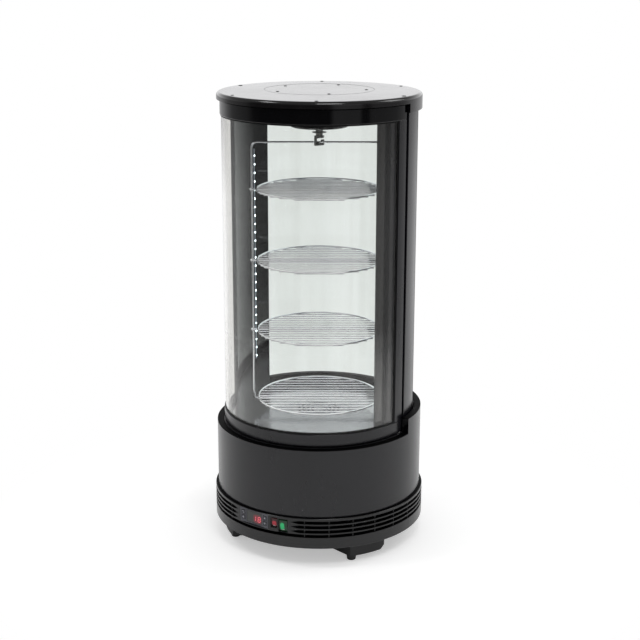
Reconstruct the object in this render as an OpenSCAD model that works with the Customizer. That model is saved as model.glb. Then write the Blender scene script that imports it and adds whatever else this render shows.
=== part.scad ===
// Round countertop refrigerated display case. A drum base on four foot lobes holds the
// cooling machine. Above it two upright posts and a curved rear glass carry the cap, and a
// curved glass door swings on the right-hand end. A wire rack with four shelves hangs from
// a slow gearmotor under the ceiling and turns without end.
// Frame: Z up, origin on the ground under the cabinet's axis, the door faces -Y.
// Bearings are degrees around the axis from the middle of the door, growing towards +X.

/* [Base] */
// Outer radius of the louvred base ring
ring_r = 225; // [223:1:232]
// Height of the base ring
ring_h = 67; // [66:1:74]
// Wall of the base ring
ring_wall = 3; // [2.6:0.2:3.6]
// Height of the plain band at the foot of the ring
band_h = 23; // [16:1:23]
// Height of one louvre slot
slot_h = 7; // [6:0.2:7]
// Height of one louvre blade
blade_h = 2.8; // [2:0.2:2.8]
// Radial depth of one louvre blade
blade_deep = 7; // [6:0.5:9]
// Number of slot rows
slot_rows = 4; // [3:1:4]
// Number of upright ribs behind the blades
rib_count = 25; // [19:2:31]
// Thickness of an upright rib
rib_t = 2.2; // [1.6:0.2:3]
// Bearing where the slots end beside the control panel
panel_half = 21; // [20:0.5:22]
// Height of a foot lobe under the ring
lobe_h = 30; // [24:1:36]
// Radius to the outer face of a foot lobe
lobe_r = 206; // [204:1:212]
// Radial depth of a foot lobe
lobe_deep = 58; // [50:1:70]
// Wall of the base pan
pan_t = 3; // [2:0.5:4]
// Height of a rubber foot
foot_h = 13; // [10:1:16]
// Radius of a rubber foot
foot_r = 10; // [8:0.5:11]
// Radius of the circle that the rubber feet stand on
foot_ring_r = 190.5; // [186:0.5:192]

/* [Drum] */
// Step in radius from the base ring to the drum
drum_step = 6; // [5:0.5:8]
// Height of the drum under the door
drum_h = 145; // [140:1:160]
// Extra height of the drum behind the door
drum_rise = 33; // [30:1:40]
// Sheet thickness of the drum
drum_t = 1.5; // [1:0.1:2]
// Width of the rim that closes the top of the drum
rim_w = 14; // [13:0.5:15]
// Height of the insulated plinth inside the drum
plinth_h = 46; // [42:1:50]
// Thickness of the plinth's floor
plinth_floor = 17; // [12:1:20]

/* [Door] */
// Height of the whole door
door_h = 679; // [620:1:720]
// Outer radius of the door, from the rim of the drum inwards
door_inset = 15.5; // [15:0.5:18]
// Radial depth of the door frame
door_deep = 13.5; // [13:0.5:14.5]
// Height of the door's sill
sill_h = 25; // [23:1:30]
// Height of the door's header
header_h = 29; // [27:1:34]
// Bearing of each end of the door
door_end = 89.5; // [89:0.1:89.7]
// Angle that one stile covers
stile_deg = 7.5; // [7:0.1:8]
// Angle of the stile's flange behind the glass
flange_deg = 5; // [4:0.5:6]
// Gap under the door
door_gap = 3; // [2.5:0.5:5]
// Gap above the door
cap_gap = 1.5; // [1:0.5:3]
// Thickness of the glass
glass_t = 5; // [4:0.5:5.5]
// Wall of the rubber gasket around the glass
gasket_t = 1; // [0.8:0.1:1.2]
// Depth of the glass in the frame
glass_bite = 10; // [8:0.5:11]
// Width of gasket that shows around the glass
gasket_show = 3; // [2:0.5:4]
// Radius of a hinge pin
pin_r = 3; // [2.5:0.25:3.5]
// Radial clearance of the hinge pins and of the spindle
run_gap = 0.05; // [0.02:0.01:0.08]
// Length of a hinge pin inside the door
pin_l = 13; // [10:1:16]

/* [Posts and rear] */
// Bearing of the front face of a post
post_start = 92; // [91.5:0.5:93]
// Bearing of the rear face of a post
post_end = 109; // [106:0.5:112]
// Wall of a post
post_t = 3; // [2:0.5:3.5]
// Bearing of the front edge of the polished inner panel
liner_start = 68.7; // [66:0.5:71]
// Bearing of the rear edge of the polished inner panel
liner_end = 110.7; // [110:0.1:112]
// Bearing of the lamp strip
lamp_bearing = 97.8; // [96:0.1:99]
// Number of lamps in a strip
lamp_count = 25; // [20:1:26]
// Distance between two lamps
lamp_pitch = 18.6; // [18:0.1:19]
// Height of the lowest lamp above the inner floor
lamp_low = 86.3; // [80:0.1:90]

/* [Cap] */
// Overhang of the cap past the door
cap_over = 6.5; // [5:0.5:8]
// Height of the cap above the door
cap_h = 14.5; // [14:0.5:20]
// Depth that the rear skirt hangs below the front one
cap_drop = 17.5; // [12:0.5:20]
// Radius of the cap's rounded edge
cap_edge = 5; // [3:0.5:6]
// Sheet thickness of the cap
cap_t = 2; // [1.5:0.1:2.5]
// Radius of the round hatch
hatch_r = 113; // [100:1:118]
// Shift of the hatch from the cabinet's axis
hatch_shift = 29; // [20:1:32]
// Radius of a screw head
screw_r = 3.4; // [3:0.1:4]
// Thickness of the insulated ceiling
ceiling_h = 30.5; // [26:0.5:34]
// Outer radius of the hub cover under the ceiling
hub_r = 62; // [55:1:70]
// Depth of the hub cover
hub_h = 26; // [24:1:28]

/* [Rack] */
// Bearing of the rack's right-hand upright at rest
rack_turn = 121.6; // [90:0.1:150]
// Half the width of the rack's wire frame
frame_half = 140; // [139:1:150]
// Thickness of the frame's wire
frame_wire = 4; // [3.6:0.2:4.6]
// Radius of the bends at the top of the frame
frame_bend = 12; // [10:1:16]
// Radius of a shelf's ring wire
shelf_r = 130; // [120:1:130]
// Thickness of a shelf's ring wire
ring_wire = 4; // [3.6:0.2:4.4]
// Thickness of a shelf's middle wire
mid_wire = 4.6; // [4.5:0.1:5]
// Thickness of a shelf's grid wires
grid_wire = 3; // [2.8:0.1:3.1]
// Distance between grid wires
grid_pitch = 17.3; // [15:0.1:20]
// Height of the lowest shelf above the inner floor
shelf_low = 29.5; // [26:0.5:34]
// Distance between two shelves
shelf_pitch = 150.4; // [140:0.1:152]
// Number of shelves
shelf_count = 4; // [4:1:4]
// Radius of the motor spindle
spindle_r = 4; // [3.5:0.25:4.5]

/* [Controls] */
// Width of the temperature controller's bezel
bezel_w = 74; // [72:1:76]
// Height of the temperature controller's bezel
bezel_h = 32; // [30:1:33]
// Bearing of the temperature controller
bezel_bearing = -5.7; // [-6:0.1:-5.4]
// Width of the display window
window_w = 41; // [38:1:42]
// Travel of a key
key_travel = 0.6; // [0.4:0.1:0.8]
// Bearing of the small rocker switch
small_bearing = 7.4; // [7.2:0.1:7.5]
// Bearing of the large rocker switch
large_bearing = 12.5; // [12.4:0.1:12.8]
// Lean of a rocker's two faces
rocker_lean = 8; // [6:0.5:9]

/* [Machine] */
// Radius of the compressor's shell
compressor_r = 62; // [55:1:64]
// Height of the compressor's shell
compressor_h = 132; // [120:1:136]
// Radius of the condenser fan
cond_fan_r = 52; // [48:1:54]
// Radius of the evaporator fan
evap_fan_r = 42; // [38:1:44]
// Number of fins on the condenser
cond_fins = 13; // [10:1:16]
// Number of fins on the evaporator
evap_fins = 14; // [10:1:18]

/* [Hidden] */
$fn = 96;
seat = 0.2;
// Heights
ring_z = foot_h + lobe_h;
band_z = ring_z + band_h;
drum_z = ring_z + ring_h;
drum_top = drum_z + drum_h;
rear_top = drum_top + drum_rise;
plinth_top = drum_top - drum_t;
plinth_z = plinth_top - plinth_h;
well_z = plinth_z + plinth_floor;
door_z = drum_top + door_gap;
door_top = door_z + door_h;
sill_top = door_z + sill_h;
header_z = door_top - header_h;
deck_t = 1.5;
deck_z = sill_top - 13;
cap_z = door_top + cap_gap;
cap_top = cap_z + cap_h;
skirt_z = cap_z - cap_drop;
ceiling_top = cap_z - cap_t;
ceiling_z = ceiling_top - ceiling_h;
hub_z = ceiling_z - hub_h;
// Radii
drum_r = ring_r - drum_step;
door_r = drum_r - door_inset;
door_in = door_r - door_deep;
seal_gap = 0.3;
seal_t = 2.7;
liner_r = door_in - seal_t - seal_gap;
liner_t = 3;
glass_out = door_r - 2.5;
glass_in = glass_out - glass_t;
cap_r = door_r + cap_over;
rim_in = drum_r - rim_w;
slot_in = glass_in - gasket_t;
slot_out = glass_out + gasket_t;
// Hinge axis, close to the right-hand end of the door
hinge_x = door_r - 5.5;
hinge_y = -7;
bush_t = 1.5;
// Louvres
slot_z = band_z + 1;
slots_h = slot_rows * slot_h + (slot_rows - 1) * blade_h;
first_rib = 24;
rib_pitch = (360 - 2 * first_rib) / (rib_count - 1);
tip_deg = 4.5;
// Foot lobes in the front half, on the right and on the left: the bearings of the end beside
// the foot, of the far end and of the foot. The rear half has the same two, half a turn on.
right_lobe = [50, 73.5, 52.5];
left_lobe = [32, 57, 39.5];
// Rack
rack_z = [for (i = [0:shelf_count - 1]) deck_z + shelf_low + i * shelf_pitch];
hook_floor = 5;
hook_z = hub_z - 39;
bar_z = hook_z + hook_floor + frame_wire / 2 + seat;
base_bar_z = rack_z[0] - mid_wire / 2 - frame_wire / 2 - seat;
kink_half = shelf_r + ring_wire + 2.5;
kink_z = base_bar_z + 16;
foot_bend = 5;
eye_wire = 3.4;
eye_r = frame_wire / 2 + eye_wire / 2 + seat + 0.1;
// Hatch and screws
hatch_bearing = 211.6;
hatch_screws_at = [for (i = [0:4]) 43 + 72 * i];
cap_screws_at = [for (i = [0:5]) 30 + 60 * i];
hatch_screw_r = hatch_r - 16;
cap_screw_r = cap_r - 15;
// Controls, in the local frame of their bearing: X outwards, Y along the ring
control_z = band_z + 26;
bezel_face = ring_r - 3;
bezel_t = 3;
key_h = 10;
key_gap = 0.3;

// A profile in (radius, height) swept from bearing b1 to bearing b2
module sweep(b1, b2) rotate([0, 0, b1 - 90]) rotate_extrude(angle = b2 - b1) children();

// A plain annular block
module band(r1, r2, z1, z2, b1 = 0, b2 = 360)
  sweep(b1, b2) translate([r1, z1]) square([r2 - r1, z2 - z1]);

// The local frame at a bearing: X outwards, Y along growing bearings
module at(b, r = 0, z = 0) rotate([0, 0, b - 90]) translate([r, 0, z]) children();

// A block in a local frame, from x1 to x2 and centred across Y
module block(x1, x2, w, z1, z2) translate([x1, -w / 2, z1]) cube([x2 - x1, w, z2 - z1]);

// A disc with a centred hole
module plate(r, z1, z2, hole = 0) difference() {
  translate([0, 0, z1]) cylinder(r = r, h = z2 - z1);
  if (hole > 0) translate([0, 0, z1 - 1]) cylinder(r = hole, h = z2 - z1 + 2);
}

// A flat outline in (across, height), pushed along the local X from x1 to x2
module push(x1, x2) translate([x1, 0, 0]) rotate([90, 0, 90]) linear_extrude(x2 - x1) children();

// A round wire along flat points, with a slightly fuller round bend at each corner. The
// bend radius is one number, or one for each point.
module path_wire(p, bend, d) {
  n = len(p);
  bends = [for (i = [0:n - 1]) is_list(bend) ? bend[i] : bend];
  dirs = [for (i = [0:n - 2]) (p[i + 1] - p[i]) / norm(p[i + 1] - p[i])];
  turn = [for (i = [0:n - 1]) i == 0 || i == n - 1 ? 0
    : atan2(dirs[i - 1][0] * dirs[i][1] - dirs[i - 1][1] * dirs[i][0], dirs[i - 1] * dirs[i])];
  trim = [for (i = [0:n - 1]) turn[i] == 0 ? 0 : bends[i] * tan(abs(turn[i]) / 2) - 0.5];
  for (i = [0:n - 2]) translate(p[i] + dirs[i] * trim[i])
    rotate([0, 0, atan2(dirs[i][1], dirs[i][0])]) rotate([0, 90, 0])
      cylinder(d = d, h = norm(p[i + 1] - p[i]) - trim[i] - trim[i + 1]);
  for (i = [1:n - 2]) {
    s = sign(turn[i]);
    side = [-dirs[i - 1][1], dirs[i - 1][0]] * s;
    translate(p[i] - dirs[i - 1] * (trim[i] + 0.5) + side * bends[i])
      rotate([0, 0, atan2(-side[1], -side[0]) + (s < 0 ? turn[i] : 0)])
        rotate_extrude(angle = abs(turn[i])) translate([bends[i], 0]) circle(d = d * 1.1);
  }
}

/* Base */

module at_lobes() for (turn = [0, 180]) rotate([0, 0, turn]) children();

// One lobe between two bearings. The end beside the foot runs inwards at a slant, and the
// bottom corner at the far end is cut off.
module foot_lobe(ends, wall, top) intersection() {
  band(lobe_r - lobe_deep + wall, lobe_r - wall, foot_h + wall, top, ends[0] - 12, ends[1] + 5);
  at(ends[0], lobe_r) rotate([0, 0, 24]) translate([-lobe_deep - 20, wall, 0])
    cube([lobe_deep + 70, lobe_r / 2, top + 1]);
  at(ends[1]) push(lobe_r - lobe_deep - 40, lobe_r + 1) polygon([
    [-lobe_r * 0.8, foot_h + wall], [-10 - wall / 2, foot_h + wall], [-wall, foot_h + wall + 9],
    [-wall, top + 1], [-lobe_r * 0.8, top + 1]]);
}

module lobe_pair(wall, top) at_lobes() {
  foot_lobe(right_lobe, wall, top);
  mirror([1, 0, 0]) foot_lobe(left_lobe, wall, top);
}

module at_feet() at_lobes() {
  at(right_lobe[2], foot_ring_r) children();
  at(-left_lobe[2], foot_ring_r) children();
}

module base_pan() color("#17171a") difference() {
  union() {
    plate(ring_r - ring_wall, ring_z, ring_z + pan_t);
    lobe_pair(0, ring_z + 1);
  }
  lobe_pair(pan_t, ring_z + 2 * pan_t);
  at_feet() translate([0, 0, foot_h - 1]) cylinder(r = 2.6, h = pan_t + 2);
  for (i = [0:6]) at(180, -60 + 20 * i, ring_z - 1)
    translate([0, -30, 0]) cube([6, 60, pan_t + 2]);
}

module rubber_feet() color("#101010")
  at_feet() rotate_extrude() polygon([
    [0, 0], [foot_r - 2, 0], [foot_r - 0.8, 1.2], [foot_r, foot_h * 0.6], [foot_r, foot_h], [2.4, foot_h], [2.4, foot_h + pan_t + 3], [0, foot_h + pan_t + 3]]);

// One slot between two blades that slope down towards the outside
module slot_profile(z) polygon([
  [ring_r + 1, z], [ring_r + 1, z + slot_h], [ring_r - blade_deep - 1, z + slot_h + 1.8],
  [ring_r - blade_deep - 1, z + 1.8]]);

module slot_point(row, side) {
  zc = slot_z + row * (slot_h + blade_h) + slot_h / 2;
  half = ring_r * sin(tip_deg / 2);
  at(side * (panel_half - tip_deg / 2), 0, zc) push(ring_r - blade_deep - 2, ring_r + 2)
    polygon([[-side * half, 0], [side * (half + 1), -side * slot_h / 2 * (1 + 1 / (2 * half))],
      [side * (half + 1), side * slot_h / 2 * (1 + 1 / (2 * half))]]);
}

// The flat pad behind a control, above the lowest slot, and the hole that its case passes through
module control_pad(b, x, w, h, z) at(b)
  block(x - 3, x, w + 8, max(z - h / 2 - 3, slot_z + slot_h + 2), min(z + h / 2 + 3, drum_z - 2));
module control_hole(b, x, w, h, z, lip) at(b) {
  block(x, ring_r + 2, w, z - h / 2, z + h / 2);
  block(x - 9, x + 1, w - 2 * lip, z - h / 2 + lip, z + h / 2 - lip);
}

module louvre_ring() color("#1d1d20") difference() {
  union() {
    difference() {
      rotate_extrude() polygon([
        [ring_r - ring_wall, ring_z], [ring_r - 1, ring_z], [ring_r, ring_z + 1],
        [ring_r, drum_z - 2], [ring_r - 1, drum_z - 1], [drum_r - 1, drum_z - 1],
        [drum_r - 1, drum_z], [drum_r - 10, drum_z], [drum_r - 10, drum_z - 3],
        [ring_r - blade_deep, drum_z - 3], [ring_r - blade_deep, slot_z - 2],
        [ring_r - ring_wall, slot_z - 4]]);
      rotate_extrude() slot_profile(slot_z);
      for (i = [1:slot_rows - 1]) sweep(panel_half, 360 - panel_half)
        slot_profile(slot_z + i * (slot_h + blade_h));
    }
    for (i = [0:rib_count - 1]) at(first_rib + i * rib_pitch)
      block(ring_r - 15, ring_r - 2.4, rib_t, slot_z - 6, drum_z - 2);
    control_pad(bezel_bearing, bezel_face - bezel_t, bezel_w, bezel_h, control_z);
    control_pad(small_bearing, small_face - 2, small_w, small_h, small_z);
    control_pad(large_bearing, large_face - 2, large_w, large_h, large_z);
  }
  for (row = [1:slot_rows - 1], side = [-1, 1]) slot_point(row, side);
  control_hole(bezel_bearing, bezel_face - bezel_t, bezel_w, bezel_h, control_z, 1.5);
  control_hole(small_bearing, small_face - 2, small_w, small_h, small_z, 0);
  control_hole(large_bearing, large_face - 2, large_w, large_h, large_z, 0);
}

/* Drum, plinth and inner floor */

module drum_skin() color("#343438") difference() {
  union() {
    difference() {
      rotate_extrude() polygon([
        [drum_r - drum_t, drum_z], [drum_r, drum_z], [drum_r, rear_top - 1.5],
        [drum_r - 1.5, rear_top], [rim_in, rear_top], [rim_in, rear_top - drum_t],
        [drum_r - drum_t, rear_top - drum_t]]);
      translate([-ring_r, -ring_r, drum_top]) cube([2 * ring_r, ring_r, drum_rise + 5]);
    }
    intersection() {
      plate(drum_r - drum_t / 2, plinth_top, drum_top, rim_in);
      translate([-ring_r, -ring_r, plinth_top - 1]) cube([2 * ring_r, ring_r + 0.4, drum_rise]);
    }
    for (s = [-1, 1]) translate([s * (rim_in + rim_w / 2 - drum_t / 4), 0.2, 0])
      translate([drum_t / 4 - rim_w / 2, -0.2, plinth_top])
        cube([rim_w - drum_t / 2, 0.4, rear_top - plinth_top - drum_t / 2]);
    intersection() {
      at(inlet_bearing) block(inlet_x, drum_r, inlet_w + 4, inlet_z - inlet_h / 2 - 2,
        inlet_z + inlet_h / 2 + 2);
      plate(drum_r - drum_t / 2, inlet_z - inlet_h, inlet_z + inlet_h);
    }
  }
  at(inlet_bearing) block(drum_r - 15, drum_r + 3, inlet_w - 6, inlet_z - inlet_h / 2 + 3,
    inlet_z + inlet_h / 2 - 3);
}

module plinth() color("#2a2a2d") difference() {
  union() {
    plate(drum_r - drum_t, plinth_z, plinth_top);
    band(liner_r - 6, liner_r - deck_t, plinth_top - 5, deck_z - deck_t);
    band(liner_r, glass_in - 3, plinth_top - 5, deck_z - deck_t, post_end, 360 - post_end);
    band(rim_in, drum_r - drum_t, plinth_top - 5, rear_top - drum_t, 90.4, 269.6);
  }
  plate(liner_r - 6, well_z, deck_z);
  for (b = pipe_bearings) at(b, pipe_r, plinth_z - 1) cylinder(r = 6, h = plinth_floor + 2);
  at(200, liner_r - 37, plinth_z - 1) cylinder(r = 5, h = plinth_floor + 2);
}

module deck_plate() color("#8d9094") difference() {
  rotate_extrude() polygon([
    [0, deck_z - deck_t], [liner_r - deck_t, deck_z - deck_t], [liner_r - deck_t, deck_z - 12],
    [liner_r, deck_z - 12], [liner_r, deck_z - 0.6], [liner_r - 0.6, deck_z], [0, deck_z]]);
  for (ring = [0:3], k = [0:5]) sweep(60 * k + 6, 60 * k + 54)
    translate([14 + 9 * ring, deck_z - 3]) square([4, 6]);
  for (s = [-1, 1], i = [0:8]) at(180 + s * (16 + 5 * i), 150, deck_z - 3)
    translate([0, -2, 0]) cube([20, 4, 6]);
}

/* Posts, lamps and rear glass */

module post() color("#232326") {
  wall_deg = post_t / door_r * 180 / PI;
  difference() {
    band(liner_r, door_r, plinth_top, cap_z, post_start, post_end);
    band(liner_r - 1, door_r - post_t, plinth_top - 1, cap_z + 1, post_start + wall_deg,
      post_end - wall_deg);
  }
}

module inner_panel() color("#18181a") {
  band(liner_r - liner_t, liner_r, deck_z, ceiling_z, liner_start, liner_end);
  band(liner_r - 1, liner_r + 2.5, sill_top + 2, header_z - 4, liner_start, liner_start + 0.6);
}

module lamp_strip() color("#e8eef0") {
  back = liner_r - liner_t - 0.1;
  low = deck_z + lamp_low;
  at(lamp_bearing) {
    block(back - 1.2, back, 5.4, low - 6, low + (lamp_count - 1) * lamp_pitch + 6);
    for (i = [0:lamp_count - 1])
      block(back - 2.4, back - 1.1, 3.6, low + i * lamp_pitch - 1.5, low + i * lamp_pitch + 1.5);
  }
}

module rear_glass() color("#cfdcd6", 0.4)
  band(glass_in, glass_out, plinth_top + glass_bite, cap_z - glass_bite, post_end + 1,
    359 - post_end);

module rear_glass_seal() color("#121214") difference() {
  band(glass_in - 3, door_r, plinth_top, cap_z, post_end, 360 - post_end);
  band(glass_in - 5, door_r + 2, rear_top + 4, cap_z - 20, post_end + 1.5, 358.5 - post_end);
  band(glass_in, glass_out, plinth_top + glass_bite, cap_z - glass_bite, post_end + 1,
    359 - post_end);
}

/* Ceiling, motor and cap */

module ceiling_panel() color("#1a1a1c") difference() {
  union() {
    plate(liner_r, ceiling_z, ceiling_top);
    band(liner_r - 1, glass_in - 3, ceiling_z, ceiling_top, post_end, 360 - post_end);
  }
  translate([0, 0, ceiling_z - 1]) cylinder(r = motor_r + 1, h = ceiling_h + 2);
}

// The hub cover's floor lies a little lower than the motor's face
cover_z = hub_z - 3;
module hub_cover() color("#141416") rotate_extrude() polygon([
  [spindle_collar + 2.5, cover_z], [hub_r - 2, cover_z], [hub_r, cover_z + 2], [hub_r, ceiling_z],
  [hub_r - 1.5, ceiling_z], [hub_r - 1.5, cover_z + 2.6], [hub_r - 2.6, cover_z + 1.5],
  [spindle_collar + 2.5, cover_z + 1.5]]);

motor_r = 30;
spindle_collar = spindle_r * 1.8;
spindle_in = 18;

module gearmotor() color("#9a9da0") difference() {
  rotate_extrude() polygon([
    [0, hub_z + 4], [8, hub_z + 4], [8, hub_z + 10], [motor_r - 2, hub_z + 10],
    [motor_r, hub_z + 12], [motor_r, ceiling_top], [motor_r + 12, ceiling_top],
    [motor_r + 12, ceiling_top + 1.8], [0, ceiling_top + 1.8]]);
  translate([0, 0, hub_z]) cylinder(r = spindle_r + run_gap, h = 4 + spindle_in);
}

module cap_base() color("#202023") difference() {
  union() {
    plate(cap_r - cap_t, cap_z, cap_z + cap_t);
    band(door_r + seal_gap, cap_r - cap_t, skirt_z, cap_z, 90.4, 269.6);
  }
  translate([hinge_x, hinge_y, cap_z - 1]) cylinder(r = pin_r, h = cap_t + 2);
}

module cap_edge_profile(z) polygon(concat(
  [[cap_r - cap_t, z], [cap_r, z]],
  [for (a = [0:15:90]) [cap_r - cap_edge * (1 - cos(a)), cap_top - cap_edge * (1 - sin(a))]],
  [[cap_r - cap_t - cap_edge, cap_top], [cap_r - cap_t - cap_edge, cap_top - cap_t],
    [cap_r - cap_t, cap_top - cap_t - 1.5]]));

module at_hatch() at(hatch_bearing, hatch_shift) rotate([0, 0, 90 - hatch_bearing]) children();

module screw_holes() {
  for (b = cap_screws_at) at(b, cap_screw_r, cap_top - 9) cylinder(r = 1.7, h = 12);
  at_hatch() for (b = hatch_screws_at) at(b, hatch_screw_r, cap_top - 9)
    cylinder(r = 1.7, h = 12);
}

module cap_shell() color("#2b2b2e") difference() {
  union() {
    sweep(-90, 90) cap_edge_profile(cap_z + seat);
    sweep(90, 270) cap_edge_profile(skirt_z);
    plate(cap_r - cap_t - cap_edge + 0.5, cap_top - cap_t, cap_top);
    at_hatch() plate(hatch_r + 4, cap_top - 2 * cap_t, cap_top - cap_t + 0.1);
    for (b = cap_screws_at) at(b, cap_screw_r) cylinder_at(cap_z + cap_t, cap_top - 1, 4);
  }
  at_hatch() plate(hatch_r + 0.5, cap_top - cap_t, cap_top + 1);
  at_hatch() plate(hatch_r - 24, cap_top - 3 * cap_t, cap_top);
  screw_holes();
}

module cylinder_at(z1, z2, r) translate([0, 0, z1]) cylinder(r = r, h = z2 - z1);

module cap_hatch() color("#2b2b2e") difference() {
  at_hatch() plate(hatch_r, cap_top - cap_t, cap_top);
  screw_holes();
}

module screw() rotate_extrude() polygon([
  [0, -6], [1.5, -6], [1.5, 0], [screw_r, 0], [screw_r, 0.7], [screw_r - 1, 1.5],
  [1.2, 1.8], [1, 0.6], [0, 0.6]]);

module cap_screws() color("#4a4a4d") {
  for (b = cap_screws_at) at(b, cap_screw_r, cap_top) screw();
  at_hatch() for (b = hatch_screws_at) at(b, hatch_screw_r, cap_top) screw();
}

/* Door */

module hinge_at(z) translate([hinge_x, hinge_y, z]) children();

module hinge_pins() color("#8c8f92") {
  hinge_at(plinth_top) rotate_extrude() polygon([
    [0, 0], [pin_r + 3.5, 0], [pin_r + 3.5, door_gap], [pin_r, door_gap], [pin_r, door_gap + drum_t + pin_l - 1],
    [pin_r - 1, door_gap + drum_t + pin_l], [0, door_gap + drum_t + pin_l]]);
  hinge_at(door_top - pin_l) rotate_extrude() polygon([
    [0, 0], [pin_r - 1, 0], [pin_r, 1], [pin_r, pin_l + cap_gap + cap_t],
    [0, pin_l + cap_gap + cap_t]]);
}

module bush(l) rotate_extrude() polygon([
  [pin_r + run_gap, 0], [pin_r + bush_t, 0], [pin_r + bush_t, l], [pin_r + run_gap, l]]);

module hinge_bushes() color("#d8d8d8") {
  hinge_at(door_z - 1) bush(pin_l + 2);
  hinge_at(door_top - pin_l - 1) bush(pin_l + 1);
}

module bush_seats() {
  hinge_at(door_z - 1) cylinder(r = pin_r + bush_t, h = pin_l + 2);
  hinge_at(door_top - pin_l - 1) cylinder(r = pin_r + bush_t, h = pin_l + 2);
}

module rail_profile(z1, z2, up) {
  e = 1.5;
  polygon([[door_in, z1], [door_r - (up ? e : 0.6), z1], [door_r, z1 + (up ? e : 0.6)],
    [door_r, z2 - (up ? 0.6 : e)], [door_r - (up ? 0.6 : e), z2], [door_in, z2]]);
}

module door_header() color("#1b1b1d") difference() {
  sweep(-door_end, door_end) rail_profile(header_z, door_top, false);
  band(slot_in, slot_out, header_z - 1, header_z + glass_bite + 2, -glass_end - 0.5,
    glass_end + 0.5);
  bush_seats();
}

module door_sill() color("#29292c") difference() {
  sweep(-door_end, door_end) rail_profile(door_z, sill_top, true);
  band(slot_in, slot_out, sill_top - glass_bite - 2, sill_top + 1, -glass_end - 0.5,
    glass_end + 0.5);
  bush_seats();
}

glass_end = door_end - stile_deg + 2;

module stile() {
  in = door_end - stile_deg;
  difference() {
    band(door_in, door_r, sill_top, header_z, in - flange_deg, door_end);
    band(slot_in - 0.4, door_r + 2, sill_top - 1, header_z + 1, in - flange_deg - 2, in);
    band(slot_in, slot_out, sill_top - 1, header_z + 1, in - 0.5, glass_end + 0.5);
  }
}

module hinge_stile() color("#3a3a3d") stile();

module latch_stile() color("#3a3a3d") difference() {
  mirror([1, 0, 0]) stile();
  band(door_r - 4.5, door_r + 1, sill_top + 230, sill_top + 380, -door_end - 0.5,
    -door_end + 2.6);
}

module door_pane() band(glass_in, glass_out, sill_top - glass_bite, header_z + glass_bite,
  -glass_end, glass_end);

module door_glass() color("#dfe6e2", 0.35) door_pane();

module glazing_gasket() color("#0e0e0f") difference() {
  band(slot_in, slot_out, sill_top - glass_bite - 2, header_z + glass_bite + 2,
    -glass_end - 0.5, glass_end + 0.5);
  band(slot_in - 2, slot_out + 2, sill_top + gasket_show, header_z - gasket_show,
    3 - glass_end, glass_end - 3);
  door_pane();
}

module door_seal() color("#101011") difference() {
  end = 84;
  in = door_end - stile_deg - flange_deg;
  band(door_in - seal_t, door_in, door_z + 4, door_top - 9, -end, end);
  band(door_in - seal_t - 2, door_in + 2, door_z + 17, door_top - 22, -in, in);
}

/* Rack */

module in_rack() rotate([0, 0, rack_turn - 90]) children();

module spindle() color("#77797b") rotate_extrude() polygon([
  [0, hub_z - 20.5], [spindle_collar * 1.5, hub_z - 20.5], [spindle_collar * 1.5, hub_z - 18.5],
  [spindle_collar, hub_z - 18.5], [spindle_collar, hub_z - 12], [spindle_collar * 2.1, hub_z - 12],
  [spindle_collar * 2.1, hub_z - 10.5], [spindle_collar, hub_z - 10.5],
  [spindle_collar, hub_z + 2], [spindle_r, hub_z + 2], [spindle_r, hub_z + spindle_in],
  [0, hub_z + spindle_in]]);

module rack_hook() color("#5c5f60") in_rack() {
  half = 12;
  bar = 4.5;
  top = hub_z - 20.5;
  rotate([0, 0, 35]) rotate([90, 0, 0]) linear_extrude(4, center = true) difference() {
    translate([-half, hook_z]) square([2 * half, top - hook_z]);
    translate([-half + bar, hook_z + hook_floor])
      square([2 * half - 2 * bar, top - hook_z - hook_floor - 3.5]);
    translate([half - bar - 1, hook_z + 12]) square([bar + 2, top - hook_z - 12 + 1]);
    translate([spindle_collar * 1.4, top - 5]) square([half, 6]);
  }
}

module frame_side() {
  rotate([90, 0, 0]) path_wire([[-1, bar_z], [frame_half, bar_z], [frame_half, kink_z],
    [kink_half, base_bar_z], [-1, base_bar_z]], [0, frame_bend, frame_bend, foot_bend, 0],
    frame_wire);
  for (i = [1:shelf_count - 1]) translate([frame_half, 0, rack_z[i] - eye_wire / 2 - seat - 2.5])
    cylinder(r = frame_wire / 2 + 1.4, h = 2.5);
}

module rack_frame() color("#c9ccce") in_rack() {
  frame_side();
  mirror([1, 0, 0]) frame_side();
}

// A wire in a shelf, along X at the place y, or along Y at the place x
module wire_x(half, y, z, d) translate([-half, y, z]) rotate([0, 90, 0]) cylinder(d = d, h = 2 * half);
module wire_y(half, x, z, d) translate([x, -half, z]) rotate([-90, 0, 0]) cylinder(d = d, h = 2 * half);

// A shelf: ring wire, a heavier middle wire with an eye at each end, two cross wires and
// the grid wires that lie on the ring. The lowest shelf has no eyes and stands on the frame.
module shelf(i) color("#d4d7d9") in_rack() translate([0, 0, rack_z[i]]) {
  rows = floor((shelf_r - grid_wire) / grid_pitch);
  lift = ring_wire / 2 + grid_wire / 2 - 0.6;
  over = shelf_r + ring_wire / 2 - 0.6;
  rotate_extrude() translate([shelf_r, 0]) circle(d = ring_wire);
  wire_x(i == 0 ? shelf_r : frame_half - eye_r + 0.2, 0, 0, mid_wire);
  for (k = [-rows:rows]) if (k != 0)
    wire_x(sqrt(over * over - pow(k * grid_pitch, 2)), k * grid_pitch, lift, grid_wire);
  for (x = [-shelf_r / 2, shelf_r / 2])
    wire_y(sqrt(shelf_r * shelf_r - x * x), x, 0, grid_wire + 0.2);
  if (i > 0) for (s = [-1, 1]) translate([s * frame_half, 0, 0]) rotate_extrude()
    translate([eye_r, 0]) circle(d = eye_wire);
}

/* Controls */

module controller_case() color("#202022") at(bezel_bearing)
  block(ring_r - 62, bezel_face - bezel_t, bezel_w - 4, control_z - bezel_h / 2 + 2,
    control_z + bezel_h / 2 - 2);

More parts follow.
